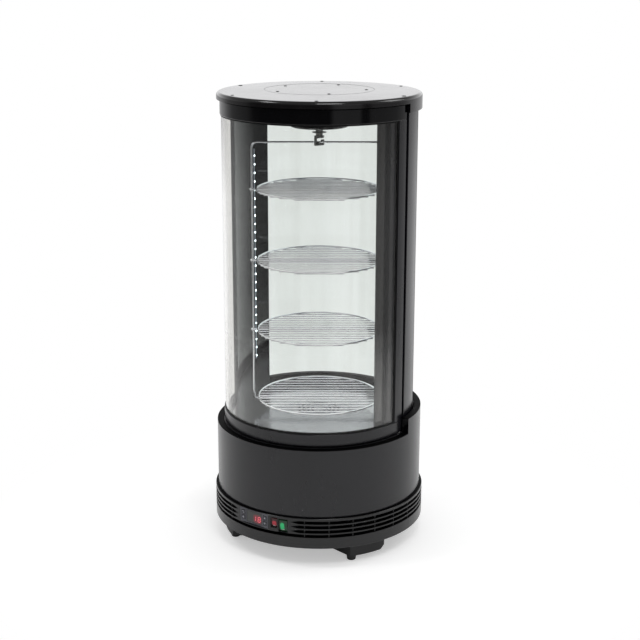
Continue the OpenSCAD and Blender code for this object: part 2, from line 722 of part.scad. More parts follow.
key_pair_y = bezel_w / 2 - 8;
key_w = 11;
window_h = bezel_h - 6;
key_z = [control_z + key_h / 2 + 1, control_z - key_h / 2 - 1];

module controller_bezel() color("#2e2e32") at(bezel_bearing) difference() {
  block(bezel_face - bezel_t, bezel_face, bezel_w, control_z - bezel_h / 2,
    control_z + bezel_h / 2);
  block(bezel_face - bezel_t - 1, bezel_face + 1, window_w, control_z - window_h / 2,
    control_z + window_h / 2);
  for (s = [-1, 1], z = key_z) translate([0, s * key_pair_y, 0])
    block(bezel_face - bezel_t - 1, bezel_face + 1, key_w, z - key_h / 2, z + key_h / 2);
}

module display_window() color("#3c1a1c") at(bezel_bearing)
  block(bezel_face - bezel_t, bezel_face - 0.6, window_w, control_z - window_h / 2,
    control_z + window_h / 2);

module key(side, z) color("#3a3a40") at(bezel_bearing) translate([0, side * key_pair_y, 0])
  block(bezel_face - bezel_t + key_travel + key_gap, bezel_face + key_travel,
    key_w - 2 * key_gap, z - key_h / 2 + key_gap, z + key_h / 2 - key_gap);

small_w = 15.5;
small_h = 23;
small_z = control_z + 1;
large_w = 20.6;
large_h = 29.5;
large_z = slot_z + slot_h + large_h / 2;
small_face = ring_r - 1.5;
large_face = ring_r - 1.5;
switch_wall = 0.8;
rocker_gap = 0.25;

module switch_case(b, w, h, z, face) at(b) difference() {
  union() {
    block(face - 10, face, w, z - h / 2, z + h / 2);
    block(face - 24, face - 10, w - 6, z - h / 2 + 3, z + h / 2 - 3);
    for (s = [-1, 1]) block(face - 30, face - 23, 1, z + s * h / 5 - 3, z + s * h / 5 + 3);
  }
  block(face - 9, face + 1, w - 2 * switch_wall, z - h / 2 + switch_wall,
    z + h / 2 - switch_wall);
}

// A rocker: a round-ended tumbler with two faces that lean away from each other
module rocker(b, w, h, z, face) {
  arc = h / 2 - switch_wall - rocker_gap;
  side = 5 - (arc + 1) * tan(rocker_lean);
  at(b, face - 4, z) rotate([0, rocker_lean, 0]) rotate([90, 0, 0])
    linear_extrude(w - 2 * switch_wall - 2 * rocker_gap, center = true) intersection() {
      circle(r = arc);
      polygon([[-3, -arc - 1], [side, -arc - 1], [5, 0], [side, arc + 1], [-3, arc + 1]]);
    }
}

module small_switch_case() color("#0d0d0e")
  switch_case(small_bearing, small_w, small_h, small_z, small_face);
module small_rocker() color("#9c1420")
  rocker(small_bearing, small_w, small_h, small_z, small_face);
module large_switch_case() color("#0d0d0e")
  switch_case(large_bearing, large_w, large_h, large_z, large_face);
module large_rocker() color("#12a04c")
  rocker(large_bearing, large_w, large_h, large_z, large_face);

/* Machine inside the base */

inlet_bearing = 180;
inlet_w = 48;
inlet_h = 28;
inlet_z = drum_z + 30;
inlet_x = drum_r - 7;

module mains_inlet() color("#0f0f10") at(inlet_bearing) difference() {
  union() {
    block(inlet_x - 2.5, inlet_x, inlet_w, inlet_z - inlet_h / 2, inlet_z + inlet_h / 2);
    block(inlet_x - 2, inlet_x + 2, inlet_w - 8, inlet_z - inlet_h / 2 + 4,
      inlet_z + inlet_h / 2 - 4);
    block(inlet_x - 24, inlet_x - 2, inlet_w - 14, inlet_z - inlet_h / 2 + 4,
      inlet_z + inlet_h / 2 - 4);
  }
  difference() {
    block(inlet_x - 16, inlet_x + 3, 24, inlet_z - 8, inlet_z + 8);
    for (y = [-7, 0, 7]) translate([0, y, 0])
      block(inlet_x - 17, inlet_x - 1, 2, inlet_z - 2 + (y == 0 ? 3 : 0),
        inlet_z + 2 + (y == 0 ? 3 : 0));
  }
}

pan_top = ring_z + pan_t;
comp_at = [-52, 34];
pipe_r = liner_r - 19;
pipe_bearings = [236, 244];

module compressor() color("#1c1c1e") translate([comp_at[0], comp_at[1], pan_top + 12]) {
  rotate_extrude() polygon([
    [0, 0], [compressor_r * 0.7, 0], [compressor_r - 4, 8], [compressor_r - 2, 60],
    [compressor_r, 60], [compressor_r, 66], [compressor_r - 2, 66],
    [compressor_r - 4, compressor_h - 34], [compressor_r * 0.72, compressor_h - 13],
    [compressor_r * 0.3, compressor_h - 12], [0, compressor_h - 12]]);
  translate([compressor_r - 14, -compressor_r * 0.39, 20]) cube([14, compressor_r * 0.78, 52]);
}

module compressor_mounts() color("#141414")
  for (sx = [-1, 1], sy = [-1, 1]) translate([comp_at[0] + sx * 26, comp_at[1] + sy * 26, pan_top])
    cylinder(r = 9, h = 12);

cond_x = drum_r - 91;
cond_t = 36;
cond_w = 124;
cond_h = 120;
tube_r = 4;

// Upright fins with rows of tubes through them and bends at alternating ends
module fin_block(fins, w, t, h, rows, cols) {
  pitch = w / (fins - 1);
  sx = t / cols;
  sz = h / rows;
  for (i = [0:fins - 1]) translate([-t / 2, -w / 2 + i * pitch - 0.5, 0]) cube([t, 1, h]);
  for (c = [0:cols - 1]) translate([(c + 0.5) * sx - t / 2, 0, 0]) rotate([90, 0, 90])
    path_wire([for (r = [0:rows - 1], e = [0, 1])
      [(r % 2 == e ? -1 : 1) * (w / 2 + 4 + sz / 2), (r + 0.5) * sz]], sz / 2 - 0.01, 2 * tube_r);
}

module condenser() color("#8b8d8f") translate([cond_x, 0, pan_top]) {
  fin_block(cond_fins, cond_w, cond_t, cond_h, 4, 2);
}

module fan_frame(r, deep) difference() {
  translate([-r - 5, -r - 5, 0]) cube([2 * r + 10, 2 * r + 10, deep]);
  translate([0, 0, 3]) cylinder(r = r + 1.5, h = deep);
  difference() {
    translate([0, 0, -1]) cylinder(r = r - 1, h = 6);
    translate([0, 0, -2]) cylinder(r = r * 0.36, h = 8);
    for (a = [0:90:270]) rotate([0, 0, a + 20]) translate([0, -2, -2]) cube([r + 2, 4, 8]);
  }
  translate([0, 0, -1]) cylinder(r = axle_r, h = 8);
}

axle_r = 2;

module fan_rotor(r, deep) {
  hub = r * 0.36;
  translate([0, 0, 4]) difference() {
    cylinder(r = hub, h = deep - 6);
    translate([0, 0, -1]) cylinder(r = hub - 2, h = deep - 8);
  }
  translate([0, 0, 0.5]) cylinder(r = axle_r - run_gap, h = deep - 3);
  for (a = [0:60:300]) intersection() {
    rotate([0, 0, a]) translate([hub - 1.5, 0, deep / 2 + 1]) rotate([32, 0, 0])
      translate([0, -r * 0.28, -0.8]) cube([r, r * 0.56, 1.6]);
    difference() {
      translate([0, 0, 4.5]) cylinder(r = r, h = deep - 7);
      cylinder(r = hub - 1, h = deep);
    }
  }
}

fan_x = cond_x - cond_t / 2 - 1;
fan_z = pan_top + cond_fan_r + 8;
cond_fan_deep = 25;
evap_fan_deep = 20;
evap_fan_lift = 14;
evap_fan_at = [0, 60];

module at_cond_fan() translate([fan_x, 0, fan_z]) rotate([0, -90, 0]) children();
module at_evap_fan() translate([evap_fan_at[0], evap_fan_at[1], well_z + evap_fan_lift]) children();

module condenser_fan_frame() color("#1a1a1b") {
  at_cond_fan() fan_frame(cond_fan_r, cond_fan_deep);
  for (s = [-1, 1]) translate([fan_x - cond_fan_deep, s * (cond_fan_r - 4) - 5, pan_top])
    cube([cond_fan_deep, 10, 4]);
}
module condenser_fan() color("#2b2b2c") at_cond_fan() fan_rotor(cond_fan_r, cond_fan_deep);
module evaporator_fan_frame() color("#1a1a1b") at_evap_fan() {
  fan_frame(evap_fan_r, evap_fan_deep);
  for (sx = [-1, 1], sy = [-1, 1]) translate([sx * evap_fan_r, sy * evap_fan_r, -evap_fan_lift])
    cylinder(r = 4, h = evap_fan_lift + 1);
}
module evaporator_fan() color("#2b2b2c") at_evap_fan() fan_rotor(evap_fan_r, evap_fan_deep);

evap_w = 204;
evap_t = 80;
evap_h = 30;

module evaporator() color("#a4a7a9") translate([0, -50, well_z]) rotate([0, 0, 90])
  fin_block(evap_fins, evap_w, evap_t, evap_h, 2, 4);

tray_w = 100;
tray_d = 50;
tray_wall = 2;

module drip_tray() color("#38383a") translate([79 - drum_r, 74 - drum_r, pan_top]) difference() {
  cube([tray_w, tray_d, 18]);
  translate([tray_wall, tray_wall, tray_wall])
    cube([tray_w - 2 * tray_wall, tray_d - 2 * tray_wall, 20]);
}

module lamp_supply() color("#c8c8c6") translate([20, drum_r - 109, pan_top]) cube([70, 40, 26]);

module refrigerant_pipes() color("#a35a38") for (i = [0, 1]) at(pipe_bearings[i])
  rotate([90, 0, 0]) path_wire([[pipe_r, well_z + 12], [pipe_r, pan_top + 46 + 16 * i],
    [norm(comp_at) + compressor_r - 2.6, pan_top + 46 + 16 * i]], 14, 2 * tube_r);

base_pan();
rubber_feet();
louvre_ring();
drum_skin();
plinth();
deck_plate();
mirror([1, 0, 0]) post();  // left_post
post();  // right_post
mirror([1, 0, 0]) inner_panel();  // left_inner_panel
inner_panel();  // right_inner_panel
mirror([1, 0, 0]) lamp_strip();  // left_lamp_strip
lamp_strip();  // right_lamp_strip
rear_glass();
rear_glass_seal();
ceiling_panel();
hub_cover();
gearmotor();
cap_base();
cap_shell();
cap_hatch();
cap_screws();
hinge_pins();
controller_case();
controller_bezel();
display_window();
small_switch_case();
large_switch_case();
mains_inlet();
compressor();
compressor_mounts();
condenser();
condenser_fan_frame();
evaporator();
evaporator_fan_frame();
drip_tray();
lamp_supply();
refrigerant_pipes();
door_header();
door_sill();
hinge_stile();
latch_stile();
door_glass();
glazing_gasket();
door_seal();
hinge_bushes();
spindle();
rack_hook();
rack_frame();
shelf(3);  // shelf_1
shelf(2);  // shelf_2
shelf(1);  // shelf_3
shelf(0);  // shelf_4
condenser_fan();
evaporator_fan();
small_rocker();
large_rocker();
key(-1, key_z[0]);  // set_key
key(-1, key_z[1]);  // lamp_key
key(1, key_z[0]);  // up_key
key(1, key_z[1]);  // down_key
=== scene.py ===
from math import radians, sin, cos, tan, pi

import bmesh
import bpy
from mathutils import Matrix, Vector


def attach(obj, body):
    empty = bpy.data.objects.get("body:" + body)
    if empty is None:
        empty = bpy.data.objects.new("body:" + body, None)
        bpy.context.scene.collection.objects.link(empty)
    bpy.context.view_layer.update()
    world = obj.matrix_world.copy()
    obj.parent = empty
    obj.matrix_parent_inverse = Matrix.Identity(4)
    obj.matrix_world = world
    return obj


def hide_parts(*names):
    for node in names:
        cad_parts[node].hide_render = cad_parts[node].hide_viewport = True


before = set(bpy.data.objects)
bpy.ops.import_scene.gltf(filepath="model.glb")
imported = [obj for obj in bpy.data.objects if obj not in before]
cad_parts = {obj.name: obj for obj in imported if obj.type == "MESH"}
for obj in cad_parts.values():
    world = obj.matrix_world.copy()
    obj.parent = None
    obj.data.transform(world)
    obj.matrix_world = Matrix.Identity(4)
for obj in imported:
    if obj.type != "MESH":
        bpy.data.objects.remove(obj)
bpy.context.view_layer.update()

# Sizes of the case in millimetres and bearings in degrees, as the solids have them
MM = 0.001
RING_R, RING_Z, BAND_Z = 225, 43, 66
DRUM_R, DRUM_IN, DRUM_Z, DRUM_TOP, REAR_TOP, RIM_IN = 219, 217.5, 110, 255, 288, 205
DOOR_R, DOOR_IN, DOOR_Z, SILL_TOP, HEADER_Z, DOOR_TOP = 203.5, 190, 258, 283, 908, 937
DOOR_END, STILE_END, FLANGE_END, FLANGE_R, PANE_END, GASKET_END = 89.5, 82.0, 77.0, 194.6, 84, 84.4
GLASS_IN, GLASS_OUT = 196, 201
LIP_IN, FIT_IN, FIT_OUT, LIP_OUT = 195.05, 195.95, 201.05, 201.95
PANE_LOW, PANE_HIGH, LIP_LOW, LIP_HIGH = 273, 918, 286, 905
REAR_START, REAR_END, REAR_LOW, REAR_HIGH, REAR_SEAL_IN = 110, 250, 263.5, 928.5, 193
POST_START, POST_END, PANEL_END = 92.0, 109.0, 110.7
DECK_Z, CEILING_Z, PLINTH_TOP = 270, 906, 253.5
LINER_R, LINER_IN, LINER_START = 187, 184, 68.7
CAP_R, CAP_Z, CAP_TOP, SKIRT_Z, CAP_EDGE = 210, 938.5, 953, 921, 7.5
HATCH_HOLE, HATCH_R, HATCH_BEARING, HATCH_SHIFT = 113.4, 112.9, 211.6, 29
RIM_SCREW_R, HATCH_SCREW_R, PAINTED_HEAD, DARK_HEAD = 195, 97, 3.6, 4.8
HUB_Z, HUB_R, COVER_Z = 880, 62, 877
LAMPS, LAMP_PITCH, LAMP_LOW, LAMP_BEARING = 25, 18.6, 356.3, 97.8
CONTROL_Z, BEZEL_FACE, BEZEL_BEARING, SWITCH_FACE = 92, 222, -5.7, 223.5
RACK_TURN, HOOK_TURN = 121.6, 35
SHELF_Z = [299.5 + 150.4 * i for i in range(4)]
SHELF_R, SHELF_PITCH, RING_WIRE, MIDDLE_WIRE, GRID_WIRE = 130, 17.3, 4, 4.6, 3
BAR_Z, FRAME_HALF, KINK_HALF, FRAME_WIRE, FRAME_BENDS = 848.2, 140, 136.5, 4, (12, 12, 5)
EYE_R, EYE_WIRE, COLLAR_R, COLLAR_T = 4, 3.4, 3.4, 2.4
SIDES = ((-1, "left"), (1, "right"))

# The fitted camera: where it stands in metres, and how it is turned in degrees
CAMERA_BEARING, CAMERA_AWAY, CAMERA_UP = 31.6, 2.8228, 1.1990
CAMERA_TILT, CAMERA_PAN, CAMERA_ROLL = 15.318, 0.0395, 0.08
FOCAL_PIXELS, PICTURE_PIXELS, SENSOR = 1375.55, 640, 36

# Strengths of the studio
AMBIENT = 0.55
OVERHEAD, OVERHEAD_BOUNCED, OVERHEAD_INSIDE = 0.3, 1.0, 1.5
FLOOR_LIFT = 0.42

# What the studio shows to a mirror, by degrees around from the camera's own side
STUDIO = [(-180, 1.0), (-140, 1.1), (-118, 0.46), (-90, 0.34), (-80, 0.1), (-70, 0.06),
          (12, 0.06), (17, 0.46), (46, 0.46), (50, 0.09), (57, 0.09), (61, 0.34), (98, 0.38),
          (112, 0.6), (125, 0.95), (142, 1.15), (180, 1.0)]

# How much of that is left by the height of the mirrored direction, from below to above
LEVELS = [(-0.3, 1.0), (-0.18, 1.0), (-0.12, 0.6), (-0.02, 0.6), (0.05, 1.25), (0.2, 1.1), (0.3, 1.0)]


# Shader nodes and the groups that several finishes share

def feed(tree, node, inputs):
    """Gives inputs of a node a constant or the output of another node."""
    for label, value in inputs.items():
        if isinstance(value, bpy.types.NodeSocket):
            tree.links.new(value, node.inputs[label])
        else:
            node.inputs[label].default_value = value


def add_node(tree, kind, inputs=None, **settings):
    made = tree.nodes.new("ShaderNode" + kind)
    for name, value in settings.items():
        setattr(made, name, value)
    feed(tree, made, inputs or {})
    return made


def node_group(name, inputs, outputs):
    """A group of plain numbers, with its tree, what it is given and where it puts its results."""
    tree = bpy.data.node_groups.new(name, "ShaderNodeTree")
    for label, value in inputs.items():
        tree.interface.new_socket(label, in_out="INPUT", socket_type="NodeSocketFloat").default_value = value
    for label in outputs:
        tree.interface.new_socket(label, in_out="OUTPUT", socket_type="NodeSocketFloat")
    return tree, tree.nodes.new("NodeGroupInput").outputs, tree.nodes.new("NodeGroupOutput")


def noise(tree, vector, scale, detail, rough=0.5):
    return add_node(tree, "TexNoise", {"Vector": vector, "Scale": scale, "Detail": detail,
                                       "Roughness": rough}).outputs["Fac"]


def remap(tree, value, low, high, to_low=0.0, to_high=1.0):
    return add_node(tree, "MapRange", {"Value": value, "From Min": low, "From Max": high,
                                       "To Min": to_low, "To Max": to_high}).outputs["Result"]


def calculate(tree, operation, first, second=0.0):
    return add_node(tree, "Math", {0: first, 1: second}, operation=operation).outputs[0]


def dot_product(tree, vector, direction):
    return add_node(tree, "VectorMath", {0: vector, 1: direction}, operation="DOT_PRODUCT").outputs["Value"]


def vector_length(tree, vector):
    return add_node(tree, "VectorMath", {0: vector}, operation="LENGTH").outputs["Value"]


def height_of(tree, vector):
    return add_node(tree, "SeparateXYZ", {0: vector}).outputs["Z"]


def object_coordinates(tree):
    return add_node(tree, "TexCoord").outputs["Object"]


def stretched(tree, scale, turn=(0.0, 0.0, 0.0)):
    return add_node(tree, "Mapping", {"Vector": object_coordinates(tree), "Scale": scale,
                                      "Rotation": turn}).outputs["Vector"]


def mix_colours(tree, mask, first, second, blend_type="MIX"):
    """Mixes two colours, each a constant or the output of another node."""
    first, second = (c if isinstance(c, bpy.types.NodeSocket) else (*c, 1) for c in (first, second))
    return add_node(tree, "Mix", {"Factor": mask, "A": first, "B": second}, data_type="RGBA",
                    blend_type=blend_type).outputs["Result"]


def mix_shaders(tree, mask, first, second):
    return add_node(tree, "MixShader", {0: mask, 1: first, 2: second}).outputs[0]


def bump(tree, height, strength, distance):
    return add_node(tree, "Bump", {"Height": height, "Strength": strength,
                                   "Distance": distance}).outputs["Normal"]


def make_skin_group():
    """The fine orange peel or moulding grain of a painted or moulded skin."""
    tree, given, results = node_group("skin_grain", {"Scale": 900.0}, ["Height", "Mottle"])
    place = object_coordinates(tree)
    feed(tree, results, {"Height": noise(tree, place, given["Scale"], 3.0),
                         "Mottle": remap(tree, noise(tree, place, 14.0, 4.0), 0.35, 0.65)})
    return tree


def make_handling_group():
    """Faint wipe marks and dust that change how sharp a reflection is."""
    tree, given, results = node_group("handling_marks", {"Clean": 0.1, "Marked": 0.2, "Scale": 6.0},
                                      ["Roughness", "Mask"])
    broad = noise(tree, object_coordinates(tree), given["Scale"], 5.0, 0.6)
    wipes = noise(tree, stretched(tree, (9.0, 9.0, 1.2), (0.35, 0.2, 0.0)), 5.0, 6.0, 0.65)
    mask = calculate(tree, "MULTIPLY", remap(tree, broad, 0.4, 0.7), remap(tree, wipes, 0.35, 0.75, 0.2))
    feed(tree, results, {"Roughness": remap(tree, mask, 0.0, 1.0, given["Clean"], given["Marked"]),
                         "Mask": mask})
    return tree


def make_brushed_group():
    """Fine lines of brushed sheet, drawn out along X."""
    tree, given, results = node_group("brushed_lines", {"Scale": 60.0}, ["Height", "Shade"])
    lines = noise(tree, stretched(tree, (0.5, 14.0, 14.0)), given["Scale"], 5.0, 0.6)
    feed(tree, results, {"Height": lines, "Shade": remap(tree, lines, 0.3, 0.7)})
    return tree


SKIN = make_skin_group()
HANDLING = make_handling_group()
BRUSHED = make_brushed_group()


def place_group(tree, group, **values):
    return add_node(tree, "Group", values, node_tree=group).outputs


def handled(tree, clean, marked, scale=6.0):
    return place_group(tree, HANDLING, Clean=clean, Marked=marked, Scale=scale)["Roughness"]


# Kinds of finish

def new_material(name):
    made = bpy.data.materials.new(name)
    made.use_nodes = True
    tree = made.node_tree
    return made, tree, tree.nodes["Principled BSDF"]


def show(tree, shader):
    feed(tree, tree.nodes["Material Output"], {"Surface": shader})


def skin_material(name, colour, second, clean, marked, grain=900.0, depth=0.00002, strength=0.3,
                  metallic=0.0, coat=0.0, marks=6.0, ior=1.5):
    """Painted, moulded or rubber skin with its own grain, mottle and handling marks."""
    made, tree, shader = new_material(name)
    skin = place_group(tree, SKIN, Scale=grain)
    feed(tree, shader, {"Base Color": mix_colours(tree, skin["Mottle"], colour, second),
                        "Roughness": handled(tree, clean, marked, marks),
                        "Normal": bump(tree, skin["Height"], strength, depth),
                        "Metallic": metallic, "IOR": ior, "Coat Weight": coat, "Coat Roughness": 0.04})
    return made


def brushed_material(name, colour, second, clean, marked, scale):
    made, tree, shader = new_material(name)
    lines = place_group(tree, BRUSHED, Scale=scale)
    feed(tree, shader, {"Base Color": mix_colours(tree, lines["Shade"], colour, second),
                        "Roughness": handled(tree, clean, marked),
                        "Normal": bump(tree, lines["Height"], 0.12, 0.00003), "Metallic": 1.0})
    return made


def glass_material(name, colour, second):
    """Clear bent float glass with faint upright bands, that lets lamp light through."""
    made, tree, shader = new_material(name)
    bands = remap(tree, noise(tree, stretched(tree, (1, 1, 0.03)), 26.0, 3.0, 0.6), 0.38, 0.62)
    feed(tree, shader, {"Base Color": mix_colours(tree, bands, colour, second),
                        "Roughness": handled(tree, 0.0, 0.012, 4.0),
                        "Transmission Weight": 1.0, "IOR": 1.5})
    through = add_node(tree, "BsdfTransparent", {"Color": (*[c * 0.92 for c in colour], 1)})
    shadow = add_node(tree, "LightPath").outputs["Is Shadow Ray"]
    show(tree, mix_shaders(tree, shadow, shader.outputs[0], through.outputs[0]))
    return made


def glowing_material(name, colour, glow, strength):
    made, tree, shader = new_material(name)
    mottle = place_group(tree, SKIN, Scale=500.0)["Mottle"]
    feed(tree, shader, {"Base Color": mix_colours(tree, mottle, colour, [c * 0.85 for c in colour]),
                        "Roughness": 0.25, "Emission Color": (*glow, 1), "Emission Strength": strength})
    return made


def patch_mask(tree, bearing, y, z, half_wide, half_tall, soft):
    """One inside a soft-cornered patch of the ring that is centred at y, z of a bearing."""
    place = object_coordinates(tree)
    across = dot_product(tree, place, (cos(radians(bearing)), sin(radians(bearing)), 0))
    parts = []
    for value, centre, half in ((across, y, half_wide), (height_of(tree, place), z, half_tall)):
        part = calculate(tree, "DIVIDE", calculate(tree, "SUBTRACT", value, centre * MM), half * MM)
        parts.append(calculate(tree, "POWER", calculate(tree, "ABSOLUTE", part), 3.0))
    return remap(tree, calculate(tree, "ADD", *parts), 1.0 - soft, 1.0 + soft, 1.0, 0.0)


def lit_material(name, body, core, glow, strength, patch, rough=0.12):
    """A moulded skin that is lit from behind inside one soft patch."""
    made, tree, shader = new_material(name)
    mask = patch_mask(tree, *patch)
    feed(tree, shader, {"Base Color": mix_colours(tree, mask, body, core),
                        "Roughness": handled(tree, rough, rough + 0.08, 30.0),
                        "Emission Color": (*glow, 1),
                        "Emission Strength": calculate(tree, "MULTIPLY", mask, strength)})
    return made


def slotted_skin(name, colour, second):
    """Moulded skin that is satin on the outside of the ring and dull inside the slots, with painted shade on
    the blades' ledges.
    """
    made = skin_material(name, colour, second, 0.2, 0.28, grain=1500.0, strength=0.12)
    tree = made.node_tree
    shader = tree.nodes["Principled BSDF"]
    place = object_coordinates(tree)
    flat = add_node(tree, "VectorMath", {0: place, 1: (1, 1, 0)}, operation="MULTIPLY").outputs["Vector"]
    sunk = remap(tree, vector_length(tree, flat), (RING_R - 1.1) * MM, (RING_R - 0.4) * MM, 1.0, 0.0)
    above = remap(tree, height_of(tree, place), (BAND_Z + 0.6) * MM, (BAND_Z + 1) * MM)
    inside = calculate(tree, "MULTIPLY", sunk, above)
    rough = shader.inputs["Roughness"].links[0].from_socket
    # Painted shade: inside the slots the ledges of the blades turn metallic, so they reflect almost nothing
    # and stay black; the upright ribs behind them keep the skin's own sheen
    normal = add_node(tree, "TexCoord").outputs["Normal"]
    ledge = remap(tree, calculate(tree, "ABSOLUTE", height_of(tree, normal)), 0.3, 0.5)
    feed(tree, shader, {"Roughness": remap(tree, inside, 0.0, 1.0, rough, 0.6),
                        "Metallic": calculate(tree, "MULTIPLY", inside, ledge)})
    return made


# Finishes

MOULDED = (0.004, 0.004, 0.0046), (0.006, 0.006, 0.0066)

satin_black = skin_material("satin_black_paint", (0.0022, 0.0021, 0.004), (0.0034, 0.0033, 0.0055),
                            0.24, 0.32, grain=1100.0, depth=0.00001, strength=0.12)
rim_black = skin_material("rim_black_moulding", (0.0008, 0.0008, 0.001), (0.0012, 0.0012, 0.0014),
                          0.5, 0.6, grain=300.0, depth=0.000004, strength=0.05, ior=1.12)
gloss_black = skin_material("gloss_black_paint", (0.0012, 0.0012, 0.0016), (0.002, 0.002, 0.0024),
                            0.05, 0.09, grain=300.0, depth=0.000004, strength=0.05)
cap_black = skin_material("cap_black_paint", (0.004, 0.0035, 0.0037), (0.006, 0.0052, 0.0055),
                          0.14, 0.2, grain=400.0, depth=0.000005, strength=0.06, coat=0.25)
liner_black = skin_material("liner_polished_black", (0.003, 0.0032, 0.0036), (0.0045, 0.0046, 0.005),
                            0.07, 0.1, grain=120.0, depth=0.000002, strength=0.03, ior=1.8)
moulded_black = skin_material("moulded_black_plastic", *MOULDED, 0.3, 0.42, grain=1500.0, strength=0.2)
louvre_black = slotted_skin("louvre_ring_black", *MOULDED)
pan_black = skin_material("base_pan_black", (0.006, 0.006, 0.0064), (0.009, 0.009, 0.0095),
                          0.5, 0.65, grain=1200.0, depth=0.00003, strength=0.35)
rubber_black = skin_material("foot_rubber", (0.014, 0.014, 0.014), (0.022, 0.022, 0.021),
                             0.6, 0.75, grain=2200.0, depth=0.00005, strength=0.5)
gasket_rubber = skin_material("gasket_rubber", (0.003, 0.003, 0.003), (0.005, 0.005, 0.005),
                              0.45, 0.6, grain=1800.0, depth=0.00003, strength=0.35, ior=1.3)
foam_skin = skin_material("foam_panel_skin", (0.03, 0.03, 0.033), (0.04, 0.04, 0.043),
                          0.35, 0.5, grain=800.0, depth=0.00003)
chrome = skin_material("bright_chrome_wire", (0.93, 0.95, 0.98), (0.88, 0.9, 0.94), 0.05, 0.14,
                       grain=700.0, depth=0.000006, strength=0.08, metallic=0.75, marks=40.0)
hook_steel = skin_material("hook_dark_zinc", (0.46, 0.465, 0.46), (0.34, 0.345, 0.34), 0.3, 0.45,
                           grain=700.0, metallic=0.6, marks=60.0)
screw_black = skin_material("screw_black_zinc", (0.004, 0.0035, 0.0035), (0.008, 0.007, 0.007),
                            0.3, 0.4, grain=700.0, depth=0.00001, marks=60.0)
bright_steel = skin_material("turned_steel", (0.6, 0.6, 0.6), (0.5, 0.5, 0.5), 0.22, 0.35, metallic=1.0)
deck_steel = skin_material("deck_steel", (0.45, 0.463, 0.48), (0.39, 0.4, 0.42), 0.15, 0.22,
                           grain=16.0, depth=0.0006, strength=0.35, metallic=1.0)
fin_alloy = brushed_material("fin_alloy", (0.72, 0.73, 0.74), (0.6, 0.61, 0.62), 0.3, 0.45, 90.0)
cast_alloy = skin_material("cast_alloy", (0.55, 0.55, 0.56), (0.45, 0.45, 0.46), 0.4, 0.55, metallic=1.0)
copper = skin_material("drawn_copper", (0.72, 0.38, 0.24), (0.55, 0.27, 0.16), 0.25, 0.4, metallic=1.0)
nylon = skin_material("white_nylon", (0.75, 0.75, 0.72), (0.7, 0.7, 0.66), 0.4, 0.5)
door_glass = glass_material("door_float_glass", (0.958, 0.955, 0.935), (0.925, 0.922, 0.9))
rear_glass = glass_material("rear_float_glass", (0.88, 0.93, 0.92), (0.845, 0.895, 0.88))
lamp_board = skin_material("lamp_board", (0.05, 0.055, 0.06), (0.07, 0.075, 0.08), 0.4, 0.5)
lamp_glow = glowing_material("lamp_lens", (0.9, 0.95, 1.0), (0.82, 0.93, 1.0), 9.0)
lamp_case = glowing_material("lamp_case", (0.75, 0.8, 0.85), (0.75, 0.88, 1.0), 0.5)
lamp_cover = glowing_material("lamp_cover", (0.3, 0.34, 0.38), (0.75, 0.88, 1.0), 0.12)
window_dark = lit_material("display_window", (0.045, 0.048, 0.045), (0.05, 0.02, 0.022),
                           (0.16, 0.012, 0.02), 0.8,
                           (BEZEL_BEARING, 8.6, CONTROL_Z - 2.2, 10.5, 8.8, 0.8), rough=0.16)
digit_glow = glowing_material("display_digits", (0.5, 0.05, 0.06), (0.52, 0.085, 0.115), 1.0)
symbol_grey = skin_material("printed_symbols", (0.27, 0.27, 0.31), (0.23, 0.23, 0.27), 0.4, 0.5)
# A pale bar low on each tumbler: a painted highlight for the glint on its lower face
painted_glint = skin_material("painted_glint", (0.45, 0.42, 0.42), (0.4, 0.38, 0.38), 0.3, 0.4)
fascia_grey = skin_material("fascia_grey_plastic", (0.062, 0.063, 0.078), (0.072, 0.073, 0.088),
                            0.28, 0.38, grain=1600.0, strength=0.25)
surround_black = skin_material("switch_surround", (0.006, 0.008, 0.0075), (0.009, 0.011, 0.01), 0.18, 0.28)
red_plastic = lit_material("red_rocker_plastic", (0.032, 0.0006, 0.0016), (0.24, 0.012, 0.022),
                           (0.24, 0.008, 0.018), 0.5, (7.4, 0.2, CONTROL_Z - 1.0, 4.6, 5.4, 0.7))
green_plastic = lit_material("green_rocker_plastic", (0.001, 0.028, 0.006), (0.01, 0.22, 0.07),
                             (0.008, 0.3, 0.1), 0.62, (12.5, -1.9, 86.8, 4.4, 8.2, 0.5))
key_skin = skin_material("key_plastic", (0.035, 0.035, 0.042), (0.045, 0.045, 0.052), 0.25, 0.35)


# Making and placing pieces

def turn_to(bearing):
    """The frame of a bearing, with X pointing outwards and Y along growing bearings."""
    return Matrix.Rotation(radians(bearing - 90), 4, "Z")


def on_side(side, near, far):
    return sorted((side * near, side * far))


def link_object(name, data):
    made = bpy.data.objects.new(name, data)
    bpy.context.scene.collection.objects.link(made)
    return made


def finish_piece(bm, name, body, material, replaces=(), ease=0.0, sharp=32, segments=2):
    """Turns a bmesh into a finished piece that rides on a body and stands for CAD nodes."""
    mesh = bpy.data.meshes.new(name)
    bm.to_mesh(mesh)
    bm.free()
    piece = link_object(name, mesh)
    mesh.materials.append(material)
    mesh.shade_smooth()
    if ease:
        soft = piece.modifiers.new("eased_edges", "BEVEL")
        soft.width = ease * MM
        soft.segments = segments
        soft.limit_method = "ANGLE"
        soft.angle_limit = radians(40)
        soft.harden_normals = True
    else:
        mesh.set_sharp_from_angle(angle=radians(sharp))
    weigh = piece.modifiers.new("even_shading", "WEIGHTED_NORMAL")
    weigh.keep_sharp = True
    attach(piece, body)
    if replaces:
        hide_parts(*replaces)
    return piece


def verts_of(geom):
    return [g for g in geom if isinstance(g, bmesh.types.BMVert)]


def edges_of(geom):
    return [g for g in geom if isinstance(g, bmesh.types.BMEdge)]


def edges_at(verts):
    return list(dict.fromkeys(e for v in verts for e in v.link_edges))


def face_outwards(bm):
    bmesh.ops.recalc_face_normals(bm, faces=bm.faces)


